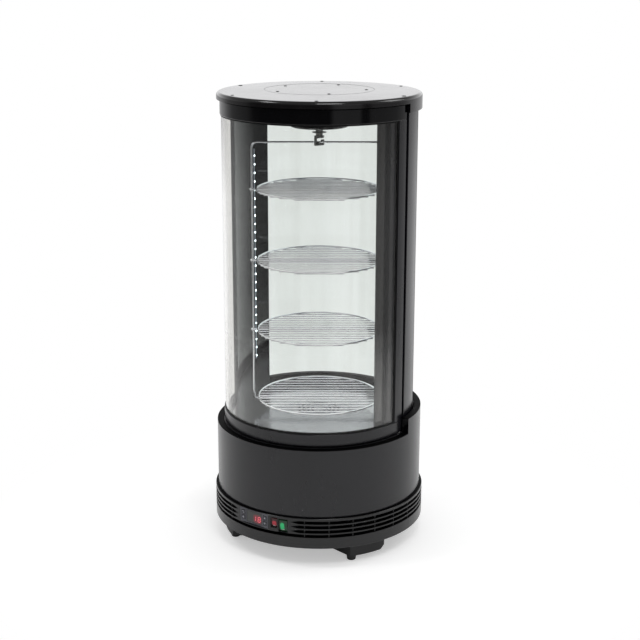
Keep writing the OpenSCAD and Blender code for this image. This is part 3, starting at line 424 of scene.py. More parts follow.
def spin(bm, geom, turn, steps, centre=(0, 0, 0), axis=(0, 0, 1), merge=True):
    return bmesh.ops.spin(bm, geom=geom, cent=centre, axis=axis, dvec=(0, 0, 0), angle=turn,
                          space=Matrix(), steps=steps, use_merge=merge, use_normal_flip=False,
                          use_duplicate=False)["geom_last"]


def band(r1, r2, z1, z2):
    """The outline of a plain wall between two radii and two heights."""
    return [(r1, z1), (r2, z1), (r2, z2), (r1, z2)]


def channel(r1, r2, back, floor, lip):
    """The outline of a seal between two radii that wraps the upper or lower edge of a pane."""
    return [(r1, back), (r2, back), (r2, lip), (FIT_OUT, lip), (FIT_OUT, floor), (FIT_IN, floor),
            (FIT_IN, lip), (r1, lip)]


def sector(outline, start=0, end=360, step=2.0):
    """Spins an outline of (radius, height) points from one bearing to another."""
    bm = bmesh.new()
    corners = [bm.verts.new((r * MM, 0, z * MM)) for r, z in outline]
    face = bm.faces.new(corners)
    bmesh.ops.rotate(bm, verts=corners, cent=(0, 0, 0), matrix=turn_to(start).to_3x3())
    full = end - start >= 360
    swept = corners + list(face.edges)
    if full:
        bmesh.ops.delete(bm, geom=[face], context="FACES_ONLY")
    else:
        swept.append(face)
    spin(bm, swept, radians(end - start), max(3, round((end - start) / step)), merge=full)
    bmesh.ops.remove_doubles(bm, verts=bm.verts, dist=1e-6)
    face_outwards(bm)
    return bm


def box(bm, bearing, x1, x2, y1, y2, z1, z2):
    """A block in the frame of a bearing."""
    middle = Vector(((x1 + x2) / 2, (y1 + y2) / 2, (z1 + z2) / 2)) * MM
    size = Vector((x2 - x1, y2 - y1, z2 - z1)) * MM
    bmesh.ops.create_cube(bm, size=1.0, matrix=(turn_to(bearing) @ Matrix.Translation(middle)
                                                @ Matrix.Diagonal((*size, 1))))


def extrude(bm, faces, push):
    grown = bmesh.ops.extrude_face_region(bm, geom=faces)["geom"]
    bmesh.ops.translate(bm, verts=verts_of(grown), vec=push)
    face_outwards(bm)


def slab(bm, place, corners, push):
    """A flat outline in the frame of a place, thickened by a push in that frame."""
    verts = [bm.verts.new(place @ (Vector(corner) * MM)) for corner in corners]
    extrude(bm, [bm.faces.new(verts)], place.to_3x3() @ (Vector(push) * MM))


def cylinder(bm, radius, length, place, sides):
    bmesh.ops.create_cone(bm, cap_ends=True, segments=sides, radius1=radius * MM, radius2=radius * MM,
                          depth=length, matrix=place)


def aim_along(line):
    return Vector((0, 0, 1)).rotation_difference(line.normalized()).to_matrix().to_4x4()


def bent_wire(bm, points, bends, diameter, sides):
    """A round wire along flat points (x, z), with a bend radius for each inner point."""
    points = [Vector((x, 0, z)) * MM for x, z in points]
    legs = [(b - a).normalized() for a, b in zip(points, points[1:])]
    at = points[0]
    start = bmesh.ops.create_circle(bm, cap_ends=True, segments=sides, radius=diameter * MM / 2,
                                    matrix=Matrix.Translation(at) @ aim_along(legs[0]))["verts"]
    ring = edges_at(start)
    for i, leg in enumerate(legs):
        goal = points[i + 1]
        turn = leg.angle(legs[i + 1]) if i + 1 < len(legs) else 0.0
        radius = bends[i] * MM if turn else 0.0
        trim = radius * tan(turn / 2)
        grown = bmesh.ops.extrude_edge_only(bm, edges=ring)["geom"]
        verts = verts_of(grown)
        bmesh.ops.translate(bm, verts=verts, vec=goal - leg * trim - at)
        ring = [e for e in edges_of(grown) if all(v in verts for v in e.verts)]
        at = goal - leg * trim
        if turn > 1e-3:
            axis = leg.cross(legs[i + 1]).normalized()
            ring = edges_of(spin(bm, ring + verts, turn, max(2, round(turn / 0.2)),
                                 at + axis.cross(leg) * radius, axis, merge=False))
            at = goal + legs[i + 1] * trim
    bmesh.ops.holes_fill(bm, edges=ring, sides=0)


def add_wire(bm, a, b, diameter, sides):
    """One straight wire between two points in millimetres."""
    a, b = Vector(a) * MM, Vector(b) * MM
    cylinder(bm, diameter / 2, (b - a).length, Matrix.Translation((a + b) / 2) @ aim_along(b - a), sides)


def add_ring(bm, centre, radius, diameter, steps, sides):
    """A closed ring of round wire, made by spinning the wire's section."""
    centre = Vector(centre) * MM
    place = Matrix.Translation(centre + Vector((radius * MM, 0, 0))) @ Matrix.Rotation(pi / 2, 4, "X")
    section = bmesh.ops.create_circle(bm, cap_ends=False, segments=sides, radius=diameter * MM / 2,
                                      matrix=place)["verts"]
    spin(bm, section + edges_at(section), 2 * pi, steps, centre)


def dress(node, material):
    """Gives a CAD node its finish."""
    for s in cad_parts[node].material_slots:
        s.material = material


# Cap

def make_cap():
    inner, flat_r, parting = CAP_R - 2, CAP_R - CAP_EDGE, CAP_Z + 0.3
    edge = [(CAP_R - CAP_EDGE * (1 - cos(radians(a))), CAP_TOP - CAP_EDGE * (1 - sin(radians(a))))
            for a in range(0, 91, 10)]
    bm = sector([(inner, SKIRT_Z), (CAP_R, SKIRT_Z), (CAP_R, parting), *edge, (flat_r - 2, CAP_TOP - 2.6),
                 (inner, CAP_TOP - CAP_EDGE - 1), (inner, parting)], -90, 270)
    # Above the door the skirt is cut away
    front = [f for f in bm.faces if f.calc_center_median().y < 0
             and f.calc_center_median().z < (CAP_Z + 0.2) * MM]
    bmesh.ops.delete(bm, geom=front, context="FACES")
    low = [e for e in bm.edges if e.is_boundary and all(abs(v.co.z - parting * MM) < 1e-5 for v in e.verts)]
    arc = [e for e in low if abs(e.verts[0].co.xy.length - e.verts[1].co.xy.length) < 1e-6]
    bmesh.ops.bridge_loops(bm, edges=arc)
    bmesh.ops.holes_fill(bm, edges=[e for e in bm.edges if e.is_boundary], sides=5)
    # The flat top between the rounded edge and the hatch
    rim = [e for e in bm.edges if all(abs(v.co.z - CAP_TOP * MM) < 1e-6 for v in e.verts)
           and all(abs(v.co.xy.length - flat_r * MM) < 1e-5 for v in e.verts)]
    inner_face = [f for f in bm.faces if abs(f.calc_center_median().z - (CAP_TOP - 1.3) * MM) < 0.5 * MM
                  and f.calc_center_median().xy.length < (flat_r - 0.2) * MM]
    bmesh.ops.delete(bm, geom=inner_face, context="FACES_ONLY")
    ring = edges_at(bmesh.ops.create_circle(bm, cap_ends=False, segments=120, radius=HATCH_HOLE * MM,
                                            matrix=Matrix.Translation(hatch_centre()))["verts"])
    bmesh.ops.bridge_loops(bm, edges=rim + ring)
    # The seam round the hatch and the ledge that it lies on
    grown = bmesh.ops.extrude_edge_only(bm, edges=ring)["geom"]
    verts = verts_of(grown)
    bmesh.ops.translate(bm, verts=verts, vec=(0, 0, -2 * MM))
    bmesh.ops.holes_fill(bm, edges=[e for e in edges_of(grown) if all(v in verts for v in e.verts)], sides=0)
    bmesh.ops.holes_fill(bm, edges=[e for e in bm.edges if e.is_boundary], sides=0)
    face_outwards(bm)
    finish_piece(bm, "cap", "cabinet", cap_black, ["cap_shell"], sharp=34)


def hatch_centre(z=CAP_TOP):
    return turn_to(HATCH_BEARING) @ (Vector((HATCH_SHIFT, 0, z)) * MM)


def make_hatch():
    bm = bmesh.new()
    cylinder(bm, HATCH_R, 1.9 * MM, Matrix.Translation(hatch_centre(CAP_TOP - 1.0)), 120)
    finish_piece(bm, "hatch", "cabinet", cap_black, ["cap_hatch"], ease=0.4)
    bm = bmesh.new()
    add_ring(bm, hatch_centre(CAP_TOP - 0.1) / MM, (HATCH_HOLE + HATCH_R) / 2, 0.55, 120, 8)
    face_outwards(bm)
    finish_piece(bm, "hatch_seal", "cabinet", gasket_rubber, sharp=60)


def make_screws():
    """Pan heads: six at the rim of the cap and five round the hatch, all painted over but two."""
    rim = [turn_to(30 + 60 * i) @ (Vector((RIM_SCREW_R, 0, CAP_TOP)) * MM) for i in range(6)]
    painted = [hatch_centre() + turn_to(43 + 72 * i) @ Vector((HATCH_SCREW_R * MM, 0, 0)) for i in range(5)]
    painted += [place for i, place in enumerate(rim) if i not in (1, 4)]
    finish_piece(screw_heads(painted, PAINTED_HEAD), "painted_screw_heads", "cabinet",
                 cap_black, ["cap_screws"])
    finish_piece(screw_heads([rim[1], rim[4]], DARK_HEAD), "dark_screw_heads", "cabinet",
                 screw_black)


def screw_heads(places, radius):
    bm = bmesh.new()
    for place in places:
        verts = [bm.verts.new(place + Vector((r, 0, z)) * MM) for r, z in (
            (0, 0), (radius, 0), (radius, 0.25), (radius * 0.8, 0.65), (radius * 0.45, 0.9), (0, 0.95))]
        edges = [bm.edges.new(pair) for pair in zip(verts, verts[1:])]
        spin(bm, verts + edges, 2 * pi, 20, place)
    bmesh.ops.remove_doubles(bm, verts=bm.verts, dist=1e-6)
    face_outwards(bm)
    return bm


# Door

def make_door():
    for name, z1, z2, slot, material, ease in (
            ("header", HEADER_Z, DOOR_TOP, "black_gloss_panel", gloss_black, 0.9),
            ("sill", DOOR_Z, SILL_TOP, "black_paint", satin_black, 1.0)):
        finish_piece(sector(band(DOOR_IN, DOOR_R, z1, z2), -DOOR_END, DOOR_END), name, "door", material,
                     ["door_" + name], ease=ease)
    low, high = SILL_TOP + 0.15, HEADER_Z - 0.15
    for side, node in ((1, "hinge_stile"), (-1, "latch_stile")):
        finish_piece(sector(band(DOOR_IN, DOOR_R, low, high), *on_side(side, STILE_END, DOOR_END), 1.5),
                     node + "_bar", "door", satin_black, [node], ease=0.7)
        finish_piece(sector(band(DOOR_IN, FLANGE_R, low, high),
                            *on_side(side, FLANGE_END, STILE_END + 0.05), 1.5),
                     node + "_flange", "door", satin_black, ease=0.4)
    finish_piece(sector(band(GLASS_IN, GLASS_OUT, PANE_LOW, PANE_HIGH), -PANE_END, PANE_END, 1.5),
                 "door_pane", "door", door_glass, ["door_glass"], ease=0.3)
    for name, heights, stands_for in (("low", (PANE_LOW - 2, PANE_LOW, LIP_LOW), ["glazing_gasket"]),
                                      ("high", (PANE_HIGH + 2, PANE_HIGH, LIP_HIGH), ())):
        finish_piece(sector(channel(LIP_IN, LIP_OUT, *heights), -GASKET_END, GASKET_END, 1.5),
                     "pane_gasket_" + name, "door", gasket_rubber, stands_for, sharp=40)
    for side, word in SIDES:
        for name, r1, r2 in (("outer", FIT_OUT, LIP_OUT), ("inner", LIP_IN, FIT_IN)):
            finish_piece(sector(band(r1, r2, LIP_LOW, LIP_HIGH), *on_side(side, 81.0, GASKET_END), 1.1),
                         f"pane_gasket_{name}_{word}", "door", gasket_rubber, sharp=40)


# Posts, inner panels, lamps and rear glass

def make_posts():
    for side, word in reversed(SIDES):
        finish_piece(sector(band(LINER_R + 0.1, DOOR_R, PLINTH_TOP, CAP_Z),
                            *on_side(side, POST_START, POST_END), 1.0),
                     word + "_post_channel", "cabinet", satin_black, [word + "_post"],
                     ease=1.2, segments=3)
        finish_piece(sector(band(LINER_IN, LINER_R, DECK_Z, CEILING_Z),
                            *on_side(side, LINER_START, PANEL_END), 1.0),
                     word + "_polished_panel", "cabinet", liner_black,
                     [word + "_inner_panel"], ease=0.5)
        finish_piece(sector(band(LINER_R - 0.5, LINER_R + 2.4, SILL_TOP + 2, HEADER_Z - 4),
                            *on_side(side, LINER_START, LINER_START + 0.8), 0.8),
                     word + "_panel_lip", "cabinet", liner_black, ease=0.25)
        make_lamp_strip(side * LAMP_BEARING, word)


def make_lamp_strip(bearing, word):
    """A board with small square lamps under a narrow clear cover that glows faintly."""
    back, high = LINER_IN - 0.1, LAMP_LOW + (LAMPS - 1) * LAMP_PITCH
    board, cover, cases, lamps = (bmesh.new() for _ in range(4))
    box(board, bearing, back - 1.0, back, -2.7, 2.7, LAMP_LOW - 8, high + 16)
    box(cover, bearing, back - 1.5, back - 0.95, -1.5, 1.5, LAMP_LOW - 7, high + 15)
    for i in range(LAMPS):
        z = LAMP_LOW + i * LAMP_PITCH
        box(cases, bearing, back - 2.3, back - 1.45, -1.6, 1.6, z - 2.0, z + 2.0)
        box(lamps, bearing, back - 2.6, back - 1.5, -1.2, 1.2, z - 1.6, z + 1.6)
    finish_piece(board, word + "_lamp_board", "cabinet", lamp_board, [word + "_lamp_strip"],
                 ease=0.2)
    for bm, name, material, ease in ((cover, "_lamp_cover", lamp_cover, 0.2),
                                     (cases, "_lamp_cases", lamp_case, 0.15),
                                     (lamps, "_lamps", lamp_glow, 0.2)):
        finish_piece(bm, word + name, "cabinet", material, ease=ease, segments=1)


def make_rear_glass():
    finish_piece(sector(band(GLASS_IN, GLASS_OUT, REAR_LOW, REAR_HIGH), REAR_START, REAR_END, 1.5),
                 "rear_pane", "cabinet", rear_glass, ["rear_glass"], ease=0.3)
    for name, heights, stands_for in (("low", (PLINTH_TOP, REAR_LOW, 292), ["rear_glass_seal"]),
                                      ("high", (CAP_Z, REAR_HIGH, 918.5), ())):
        finish_piece(sector(channel(REAR_SEAL_IN, DOOR_R, *heights), REAR_START + 0.6, REAR_END - 0.6, 1.5),
                     "rear_gasket_" + name, "cabinet", gasket_rubber, stands_for, sharp=40)
    for word, start, end in (("left", REAR_END - 0.5, REAR_END + 0.95),
                             ("right", REAR_START - 0.95, REAR_START + 0.5)):
        finish_piece(sector(band(REAR_SEAL_IN, DOOR_R, PLINTH_TOP, CAP_Z), start, end, 0.8),
                     "rear_gasket_" + word, "cabinet", gasket_rubber, ease=0.4)


# Hub, spindle and hook

def make_hub():
    low = COVER_Z + 2.4
    outline = [(9.8, low), (50, low + 0.1), (57.5, low + 0.9), (60.6, low + 2.4), (61.8, low + 4.4),
               (HUB_R, low + 7), (HUB_R, CEILING_Z), (60.5, CEILING_Z), (60.5, low + 7), (59.4, low + 4),
               (56.5, low + 2.4), (50, low + 1.7), (9.8, low + 1.5)]
    finish_piece(sector(outline, 0, 360, 4.0), "hub_dish", "cabinet", gloss_black,
                 ["hub_cover"], sharp=50)
    # A flange for the hook, a neck, a washer and the shaft, by the height above the hub
    outline = [(0, -20.5), (10.4, -20.5), (10.8, -20.1), (10.8, -18.9), (10.4, -18.5), (7.2, -18.5),
               (7.2, -12), (14.7, -12), (15.1, -11.6), (15.1, -10.9), (14.7, -10.5), (7.2, -10.5),
               (7.2, 2), (4, 2), (4, 18), (0, 18)]
    finish_piece(sector([(r, HUB_Z + z) for r, z in outline], 0, 360, 10.0), "spindle_turned", "rack",
                 hook_steel, ["spindle"], sharp=40)


def make_hook():
    """The flat hook: a leg on the left, a thick bottom and an upturned tip on the right."""
    low, high = HUB_Z - 39, HUB_Z - 20.5
    outline = [(-12, low + 1.5), (-10.5, low), (10, low), (12, low + 2), (12, low + 10.5), (10.5, low + 12),
               (6.5, low + 12), (4.4, low + 10), (3.4, low + 7), (-6.8, low + 7), (-6.8, high - 3.5),
               (10, high - 3.5), (10, high), (-12, high)]
    bm = bmesh.new()
    slab(bm, turn_to(RACK_TURN + HOOK_TURN), [(x, -2, z) for x, z in outline], (0, 4, 0))
    finish_piece(bm, "hook_strip", "rack", hook_steel, ["rack_hook"], ease=0.9, segments=3)


# Wire rack

def make_rack():
    place = turn_to(RACK_TURN)
    base = SHELF_Z[0] - 4.5
    bm = bmesh.new()
    for side in (1, -1):
        bent_wire(bm, [(0, BAR_Z), (side * FRAME_HALF, BAR_Z), (side * FRAME_HALF, base + 16),
                       (side * KINK_HALF, base), (0, base)], FRAME_BENDS, FRAME_WIRE, 14)
        for z in SHELF_Z[1:]:
            middle = Vector((side * FRAME_HALF, 0, z - 3.4)) * MM
            cylinder(bm, COLLAR_R, COLLAR_T * MM, Matrix.Translation(middle), 16)
    bmesh.ops.transform(bm, matrix=place, verts=bm.verts)
    face_outwards(bm)
    finish_piece(bm, "wire_frame", "rack", chrome, ["rack_frame"], sharp=50)
    for i, z in enumerate(SHELF_Z):
        make_shelf(4 - i, z, place)


def make_shelf(number, z, place):
    """A ring that lies on a grid; all but the lowest shelf end in eyes round the frame."""
    lowest = number == 4
    grid = z if lowest else z - 1.2
    bm = bmesh.new()
    add_ring(bm, (0, 0, grid + 2.6), SHELF_R, RING_WIRE, 96, 12)
    reach = SHELF_R if lowest else FRAME_HALF - FRAME_WIRE + 0.2
    add_wire(bm, (-reach, 0, grid), (reach, 0, grid), MIDDLE_WIRE, 12)
    for k in range(-7, 8):
        if k:
            half = ((SHELF_R + 1.2) ** 2 - (k * SHELF_PITCH) ** 2) ** 0.5
            add_wire(bm, (-half, k * SHELF_PITCH, grid), (half, k * SHELF_PITCH, grid), GRID_WIRE, 10)
    if not lowest:
        for side in (-1, 1):
            add_ring(bm, (side * FRAME_HALF, 0, z), EYE_R, EYE_WIRE, 20, 10)
    bmesh.ops.transform(bm, matrix=place, verts=bm.verts)
    face_outwards(bm)
    finish_piece(bm, f"wire_shelf_{number}", "rack", chrome, [f"shelf_{number}"], sharp=50)


# Drum

def make_drum():
    split, high = DRUM_TOP - 1.4, REAR_TOP - 1.35
    finish_piece(sector(band(DRUM_IN, DRUM_R, DRUM_Z, split), -90, 270), "drum_wall", "cabinet",
                 satin_black, ["drum_skin"], sharp=40)
    finish_piece(sector(band(DRUM_IN, DRUM_R, split, high), 90, 270), "drum_rear_wall", "cabinet",
                 satin_black, sharp=40)
    for word, top, start, end in (("front", DRUM_TOP, -89.9, 89.9), ("rear", REAR_TOP, 90, 270)):
        rim = [(RIM_IN, top - 3), (RIM_IN + 1.2, top - 3), (RIM_IN + 1.2, top - 1.35), (DRUM_R, top - 1.35),
               (DRUM_R - 0.1, top - 0.7), (DRUM_R - 0.5, top - 0.2), (DRUM_R - 1.2, top), (RIM_IN + 0.8, top),
               (RIM_IN, top - 0.8)]
        finish_piece(sector(rim, start, end), f"drum_{word}_rim", "cabinet", rim_black,
                     sharp=40)
    # The two steps where the low front rim meets the high rear rim
    for side, word in SIDES:
        bm = bmesh.new()
        box(bm, 90, *on_side(side, RIM_IN, DRUM_R - 0.6), 0, 0.5, PLINTH_TOP, REAR_TOP - 0.6)
        finish_piece(bm, "drum_step_" + word, "cabinet", gloss_black)


# Controls in the base

def pierced_plate(bearing, x1, x2, ys, zs, holes):
    """A plate on a grid of cuts (y, z), with the grid cells in `holes` left open."""
    bm = bmesh.new()
    place = turn_to(bearing)
    grid = [[bm.verts.new(place @ (Vector((x2, y, z)) * MM)) for z in zs] for y in ys]
    faces = [bm.faces.new((grid[i][j], grid[i + 1][j], grid[i + 1][j + 1], grid[i][j + 1]))
             for i in range(len(ys) - 1) for j in range(len(zs) - 1) if (i, j) not in holes]
    extrude(bm, faces, place.to_3x3() @ Vector(((x1 - x2) * MM, 0, 0)))
    bmesh.ops.delete(bm, geom=[v for v in bm.verts if not v.link_faces], context="VERTS")
    return bm


def flat_shape(bm, x1, x2, outline):
    """An outline in (y, z) on the controller, with a thickness from x1 to x2."""
    slab(bm, turn_to(BEZEL_BEARING), [(x1, y, z) for y, z in outline], (x2 - x1, 0, 0))


def make_display():
    ys = [-37, -34.5, -23.5, -20.5, 20.5, 23.5, 34.5, 37]
    zs = [CONTROL_Z + z for z in (-16, -13, -11, -1, 1, 11, 13, 16)]
    holes = {(3, j) for j in range(1, 6)} | {(i, j) for i in (1, 5) for j in (2, 4)}
    finish_piece(pierced_plate(BEZEL_BEARING, BEZEL_FACE - 3, BEZEL_FACE, ys, zs, holes), "fascia", "cabinet",
                 fascia_grey, ["controller_bezel"], ease=0.5, segments=3)
    wide, tall = 20.4, 12.9
    bm = bmesh.new()
    box(bm, BEZEL_BEARING, BEZEL_FACE - 2.9, BEZEL_FACE - 0.6, -wide, wide, CONTROL_Z - tall,
        CONTROL_Z + tall)
    finish_piece(bm, "window_pane", "cabinet", window_dark, ["display_window"], ease=0.4)
    ys = [-wide, -19.2, 19.6, wide]
    zs = [CONTROL_Z + z for z in (-tall, -12.2, 12.2, tall)]
    finish_piece(pierced_plate(BEZEL_BEARING, BEZEL_FACE - 0.7, BEZEL_FACE - 0.45, ys, zs, {(1, 1)}),
                 "window_frame", "cabinet", surround_black)
    bm = bmesh.new()
    for centre, digit in ((0.7, "bc"), (13.4, "abcdefg")):
        for segment in digit:
            add_segment(bm, centre, CONTROL_Z - 2.2, segment)
    finish_piece(bm, "digits", "cabinet", digit_glow)


def add_segment(bm, y, z, segment):
    """One bar of a seven-segment figure, with pointed ends and a slight slant."""
    half, tall, thick, slant = 3.2, 5.3, 0.85, 0.1
    middle = dict(a=(0, tall), g=(0, 0), d=(0, -tall), b=(half, tall / 2), c=(half, -tall / 2),
                  f=(-half, tall / 2), e=(-half, -tall / 2))[segment]
    if segment in "agd":
        shape = [(-half + 0.3, 0), (-half + 1.2, -thick), (half - 1.2, -thick), (half - 0.3, 0),
                 (half - 1.2, thick), (-half + 1.2, thick)]
    else:
        reach = tall / 2
        shape = [(0, -reach + 0.2), (thick, -reach + 1.2), (thick, reach - 1.2), (0, reach - 0.2),
                 (-thick, reach - 1.2), (-thick, -reach + 1.2)]
    flat_shape(bm, BEZEL_FACE - 0.65, BEZEL_FACE - 0.5,
               [(y + middle[0] + u + slant * (middle[1] + v), z + middle[1] + v) for u, v in shape])


def disc(y, z, radius, count=20):
    turns = [2 * pi * i / count for i in range(count)]
    return [(y + radius * cos(turn), z + radius * sin(turn)) for turn in turns]


def make_keys():
    """Four small keys, each with a plain raised mark of its own."""
    marks = dict(
        set=[[(-2.6, 0.9), (1.4, 0.9), (1.4, 2.1), (-2.6, 2.1)],
             [(-1.4, -2.1), (2.6, -2.1), (2.6, -0.9), (-1.4, -0.9)]],
        lamp=[disc(0, 0.7, 2.1), [(-1.1, -2.9), (1.1, -2.9), (1.1, -1.9), (-1.1, -1.9)]],
        up=[[(-2.6, -1.8), (2.6, -1.8), (0, 2.2)]], down=[[(-2.6, 1.8), (0, -2.2), (2.6, 1.8)]])
    for name, y, lift in (("set", -29, 6), ("lamp", -29, -6), ("up", 29, 6), ("down", 29, -6)):
        z = CONTROL_Z + lift
        bm = bmesh.new()
        box(bm, BEZEL_BEARING, BEZEL_FACE - 2.1, BEZEL_FACE + 0.5, y - 5.2, y + 5.2, z - 4.7, z + 4.7)
        finish_piece(bm, name + "_key_cap", name + "_button", key_skin, [name + "_key"],
                     ease=0.7, segments=3)
        bm = bmesh.new()
        for outline in marks[name]:
            flat_shape(bm, BEZEL_FACE + 0.4, BEZEL_FACE + 0.58, [(y + a, z + b) for a, b in outline])
        finish_piece(bm, name + "_key_mark", name + "_button", symbol_grey)


def make_switch(word, bearing, wide, tall, z, material):
    """A rocker switch: a black surround and a tumbler with two faces that lean apart."""
    across, up, wall = wide / 2, tall / 2, 0.8
    ys = [-across, -across + wall, across - wall, across]
    zs = [z - up, z - up + wall, z + up - wall, z + up]
    bm = pierced_plate(bearing, SWITCH_FACE - 10, SWITCH_FACE, ys, zs, {(1, 1)})
    box(bm, bearing, SWITCH_FACE - 24, SWITCH_FACE - 9, -across + 3, across - 3, z - up + 3, z + up - 3)
    for at in (z - tall / 5, z + tall / 5):
        box(bm, bearing, SWITCH_FACE - 30, SWITCH_FACE - 23, -0.5, 0.5, at - 3, at + 3)
    finish_piece(bm, word + "_surround", "cabinet", surround_black,
                 [word + "_switch_case"], ease=0.35)
    # The tumbler's profile from its lower end up, in a frame that leans with its upper face
    arc, lean, crown = up - 1.05, radians(8), 5
    side = crown - arc * tan(lean)
    shoulder = side + 0.32 * (crown - side)
    half_rim = [(-3, 0.97), (side - 1.2, 0.97), (side, 0.9), (shoulder, 0.55), (4.75, 0.12)]
    rim = [(x, -arc * part) for x, part in half_rim] + [(x, arc * part) for x, part in reversed(half_rim)]
    half = across - 1.1
    place = (turn_to(bearing) @ Matrix.Translation(Vector((SWITCH_FACE - 4, 0, z)) * MM)
             @ Matrix.Rotation(lean, 4, "Y"))
    bm = bmesh.new()
    slab(bm, place, [(x, -half, v) for x, v in rim], (0, 2 * half, 0))
    finish_piece(bm, word + "_tumbler", word + "_switch", material, [word + "_rocker"], ease=0.8,
                 segments=3)
    # A pale bar low on the tumbler: a painted highlight for the glint on its lower face
    low = arc * 0.72
    outline = [(-2.2, -low), (2.2, -low), (2.2, -arc * 0.56), (-2.2, -arc * 0.56)]
    bm = bmesh.new()
    slab(bm, place, [(shoulder - 0.35 + 0.16 * (v + low), u, v) for u, v in outline], (0.25, 0, 0))
    finish_piece(bm, word + "_tumbler_painted_glint", word + "_switch", painted_glint)


# Camera, floor and light

def make_camera():
    data = bpy.data.cameras.new("camera")
    data.sensor_width = SENSOR
    data.lens = FOCAL_PIXELS / PICTURE_PIXELS * SENSOR
    data.clip_start, data.clip_end = 0.05, 60
    camera = link_object("camera", data)
    b = radians(CAMERA_BEARING)
    spot = (CAMERA_AWAY * sin(b), -CAMERA_AWAY * cos(b), CAMERA_UP + RING_Z * MM)
    camera.matrix_world = (Matrix.Translation(spot)
                           @ Matrix.Rotation(radians(CAMERA_BEARING - CAMERA_PAN), 4, "Z")
                           @ Matrix.Rotation(radians(90 - CAMERA_TILT), 4, "X")
                           @ Matrix.Rotation(radians(CAMERA_ROLL), 4, "Z"))
    bpy.context.scene.camera = camera


def ray_kinds(tree):
    """One where the eye looks straight or through glass, and one where it looks by a mirror."""
    path = add_node(tree, "LightPath").outputs
    mirrored = calculate(tree, "GREATER_THAN", path["Glossy Depth"], 0.5)
    straight = calculate(tree, "MAXIMUM", path["Is Camera Ray"], path["Is Transmission Ray"])
    bounced = calculate(tree, "ADD", path["Glossy Depth"], path["Diffuse Depth"])
    seen = calculate(tree, "MULTIPLY", straight, calculate(tree, "LESS_THAN", bounced, 0.5))
    return seen, mirrored


def make_floor():
    """A pale table top. What mirrors it from further off sees past its edge into the studio."""
    bm = bmesh.new()
    bmesh.ops.create_grid(bm, x_segments=1, y_segments=1, size=8.0)
    mesh = bpy.data.meshes.new("floor")
    bm.to_mesh(mesh)
    bm.free()
    floor = link_object("floor", mesh)
    made, tree, shader = new_material("pale_floor")
    seen, mirrored = ray_kinds(tree)
    feed(tree, shader, {"Base Color": (0.82, 0.82, 0.82, 1), "Roughness": 0.7, "Specular IOR Level": 0.0,
                        "Emission Color": (1, 1, 1, 1),
                        "Emission Strength": calculate(tree, "MULTIPLY", seen, FLOOR_LIFT)})
    away = vector_length(tree, object_coordinates(tree))
    far = calculate(tree, "MULTIPLY", seen, remap(tree, away, 0.34, 0.75))
    beyond = calculate(tree, "MULTIPLY", mirrored, remap(tree, away, 1.15, 1.9))
    near_or_white = mix_shaders(tree, far, shader.outputs[0], add_node(tree, "Emission").outputs[0])
    show(tree, mix_shaders(tree, beyond, near_or_white, add_node(tree, "BsdfTransparent").outputs[0]))
    mesh.materials.append(made)


def grey_ramp(tree, value, stops, blue=1.0):
    """A grey that runs through stops of (value, brightness), its blue raised by a factor."""
    low, high = stops[0][0], stops[-1][0]
    made = add_node(tree, "ValToRGB", {"Fac": remap(tree, value, low, high)})
    elements = made.color_ramp.elements
    for spot, grey in stops[1:-1]:
        elements.new((spot - low) / (high - low)).color = (grey, grey, grey * blue, 1)
    for end, grey in ((elements[0], stops[0][1]), (elements[-1], stops[-1][1])):
        end.color = (grey, grey, grey * blue, 1)
    return made.outputs["Color"]


def background(tree, colour, strength):
    return add_node(tree, "Background", {"Color": colour, "Strength": strength}).outputs[0]


def make_world():
    """A pale studio: white behind the case, darker on the camera's side."""
    world = bpy.data.worlds.new("studio")
    bpy.context.scene.world = world
    world.use_nodes = True
    tree = world.node_tree
    tree.nodes.clear()
    place = add_node(tree, "TexCoord").outputs["Generated"]
    height = height_of(tree, place)
    b = radians(CAMERA_BEARING)
    around = calculate(tree, "ARCTAN2", dot_product(tree, place, (cos(b), sin(b), 0)),
                       dot_product(tree, place, (sin(b), -cos(b), 0)))
    sides = grey_ramp(tree, around, [(radians(turn), grey) for turn, grey in STUDIO], 1.01)
    walls = mix_colours(tree, 1.0, sides, grey_ramp(tree, height, LEVELS), "MULTIPLY")
    # Above the walls hangs a broad pale ceiling, brighter for what is seen inside or by the floor
    path = add_node(tree, "LightPath").outputs
    inside = calculate(tree, "GREATER_THAN", path["Transmission Depth"], 0.5)
    bounced = calculate(tree, "GREATER_THAN", path["Diffuse Depth"], 0.5)
    ceiling = remap(tree, bounced, 0.0, 1.0, remap(tree, inside, 0.0, 1.0, OVERHEAD, OVERHEAD_INSIDE),
                    OVERHEAD_BOUNCED)
    studio = mix_colours(tree, remap(tree, height, 0.22, 0.5), walls, ceiling)
    seen, mirrored = ray_kinds(tree)
    white = (1, 1, 1, 1)
    unseen = mix_shaders(tree, mirrored, background(tree, white, AMBIENT), background(tree, studio, 1.0))
    feed(tree, add_node(tree, "OutputWorld"),
         {"Surface": mix_shaders(tree, seen, unseen, background(tree, white, 1.0))})


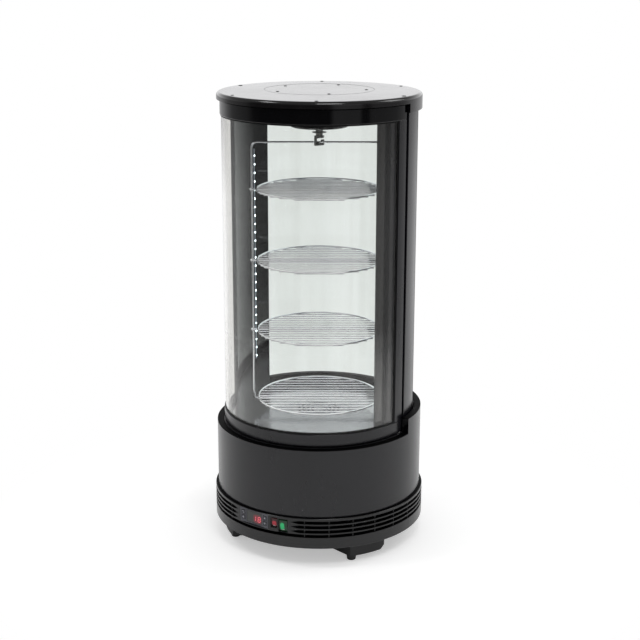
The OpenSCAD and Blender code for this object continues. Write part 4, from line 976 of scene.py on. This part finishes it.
def soft_box(name, bearing, distance, height, width, tall, power, aim_z=0.9, mirrored=True):
    """A soft panel of light that looks at a height on the case's axis; sizes in metres."""
    data = bpy.data.lights.new(name, "AREA")
    data.shape = "RECTANGLE"
    data.size, data.size_y = width, tall
    data.energy = power
    lamp = link_object(name, data)
    b = radians(bearing)
    spot = Vector((distance * sin(b), -distance * cos(b), height))
    aim = (Vector((0, 0, aim_z)) - spot).to_track_quat("-Z", "Y")
    lamp.matrix_world = Matrix.Translation(spot) @ aim.to_matrix().to_4x4()
    lamp.visible_camera = False
    lamp.visible_transmission = False
    lamp.visible_glossy = mirrored


make_cap()
make_hatch()
make_screws()
make_door()
make_posts()
make_rear_glass()
make_hub()
make_hook()
make_rack()
make_drum()
make_display()
make_keys()
make_switch("small", 7.4, 15.5, 23, CONTROL_Z + 1, red_plastic)
make_switch("large", 12.5, 20.6, 29.5, 88.75, green_plastic)

for node, material in dict(
        base_pan=pan_black, rubber_feet=rubber_black, louvre_ring=louvre_black, plinth=foam_skin,
        deck_plate=deck_steel, ceiling_panel=foam_skin, gearmotor=cast_alloy, cap_base=satin_black,
        hinge_pins=bright_steel, controller_case=moulded_black, mains_inlet=moulded_black,
        compressor=gloss_black, compressor_mounts=rubber_black, condenser=fin_alloy,
        condenser_fan_frame=moulded_black, evaporator=fin_alloy, evaporator_fan_frame=moulded_black,
        drip_tray=foam_skin, lamp_supply=cast_alloy, refrigerant_pipes=copper, door_seal=gasket_rubber,
        hinge_bushes=nylon, condenser_fan=moulded_black, evaporator_fan=moulded_black).items():
    dress(node, material)

make_camera()
make_floor()
make_world()
soft_box("back_panel", CAMERA_BEARING + 180, 3.2, 1.8, 5.0, 1.4, 14, mirrored=False)
soft_box("front_panel", CAMERA_BEARING + 14, 2.2, 3.5, 1.3, 0.8, 26)
soft_box("left_panel", CAMERA_BEARING - 77, 2.2, 3.5, 0.7, 0.8, 16)
soft_box("right_panel", CAMERA_BEARING + 100, 2.4, 2.6, 1.2, 1.2, 14, aim_z=0.7)

bpy.context.scene.view_settings.view_transform = "Standard"
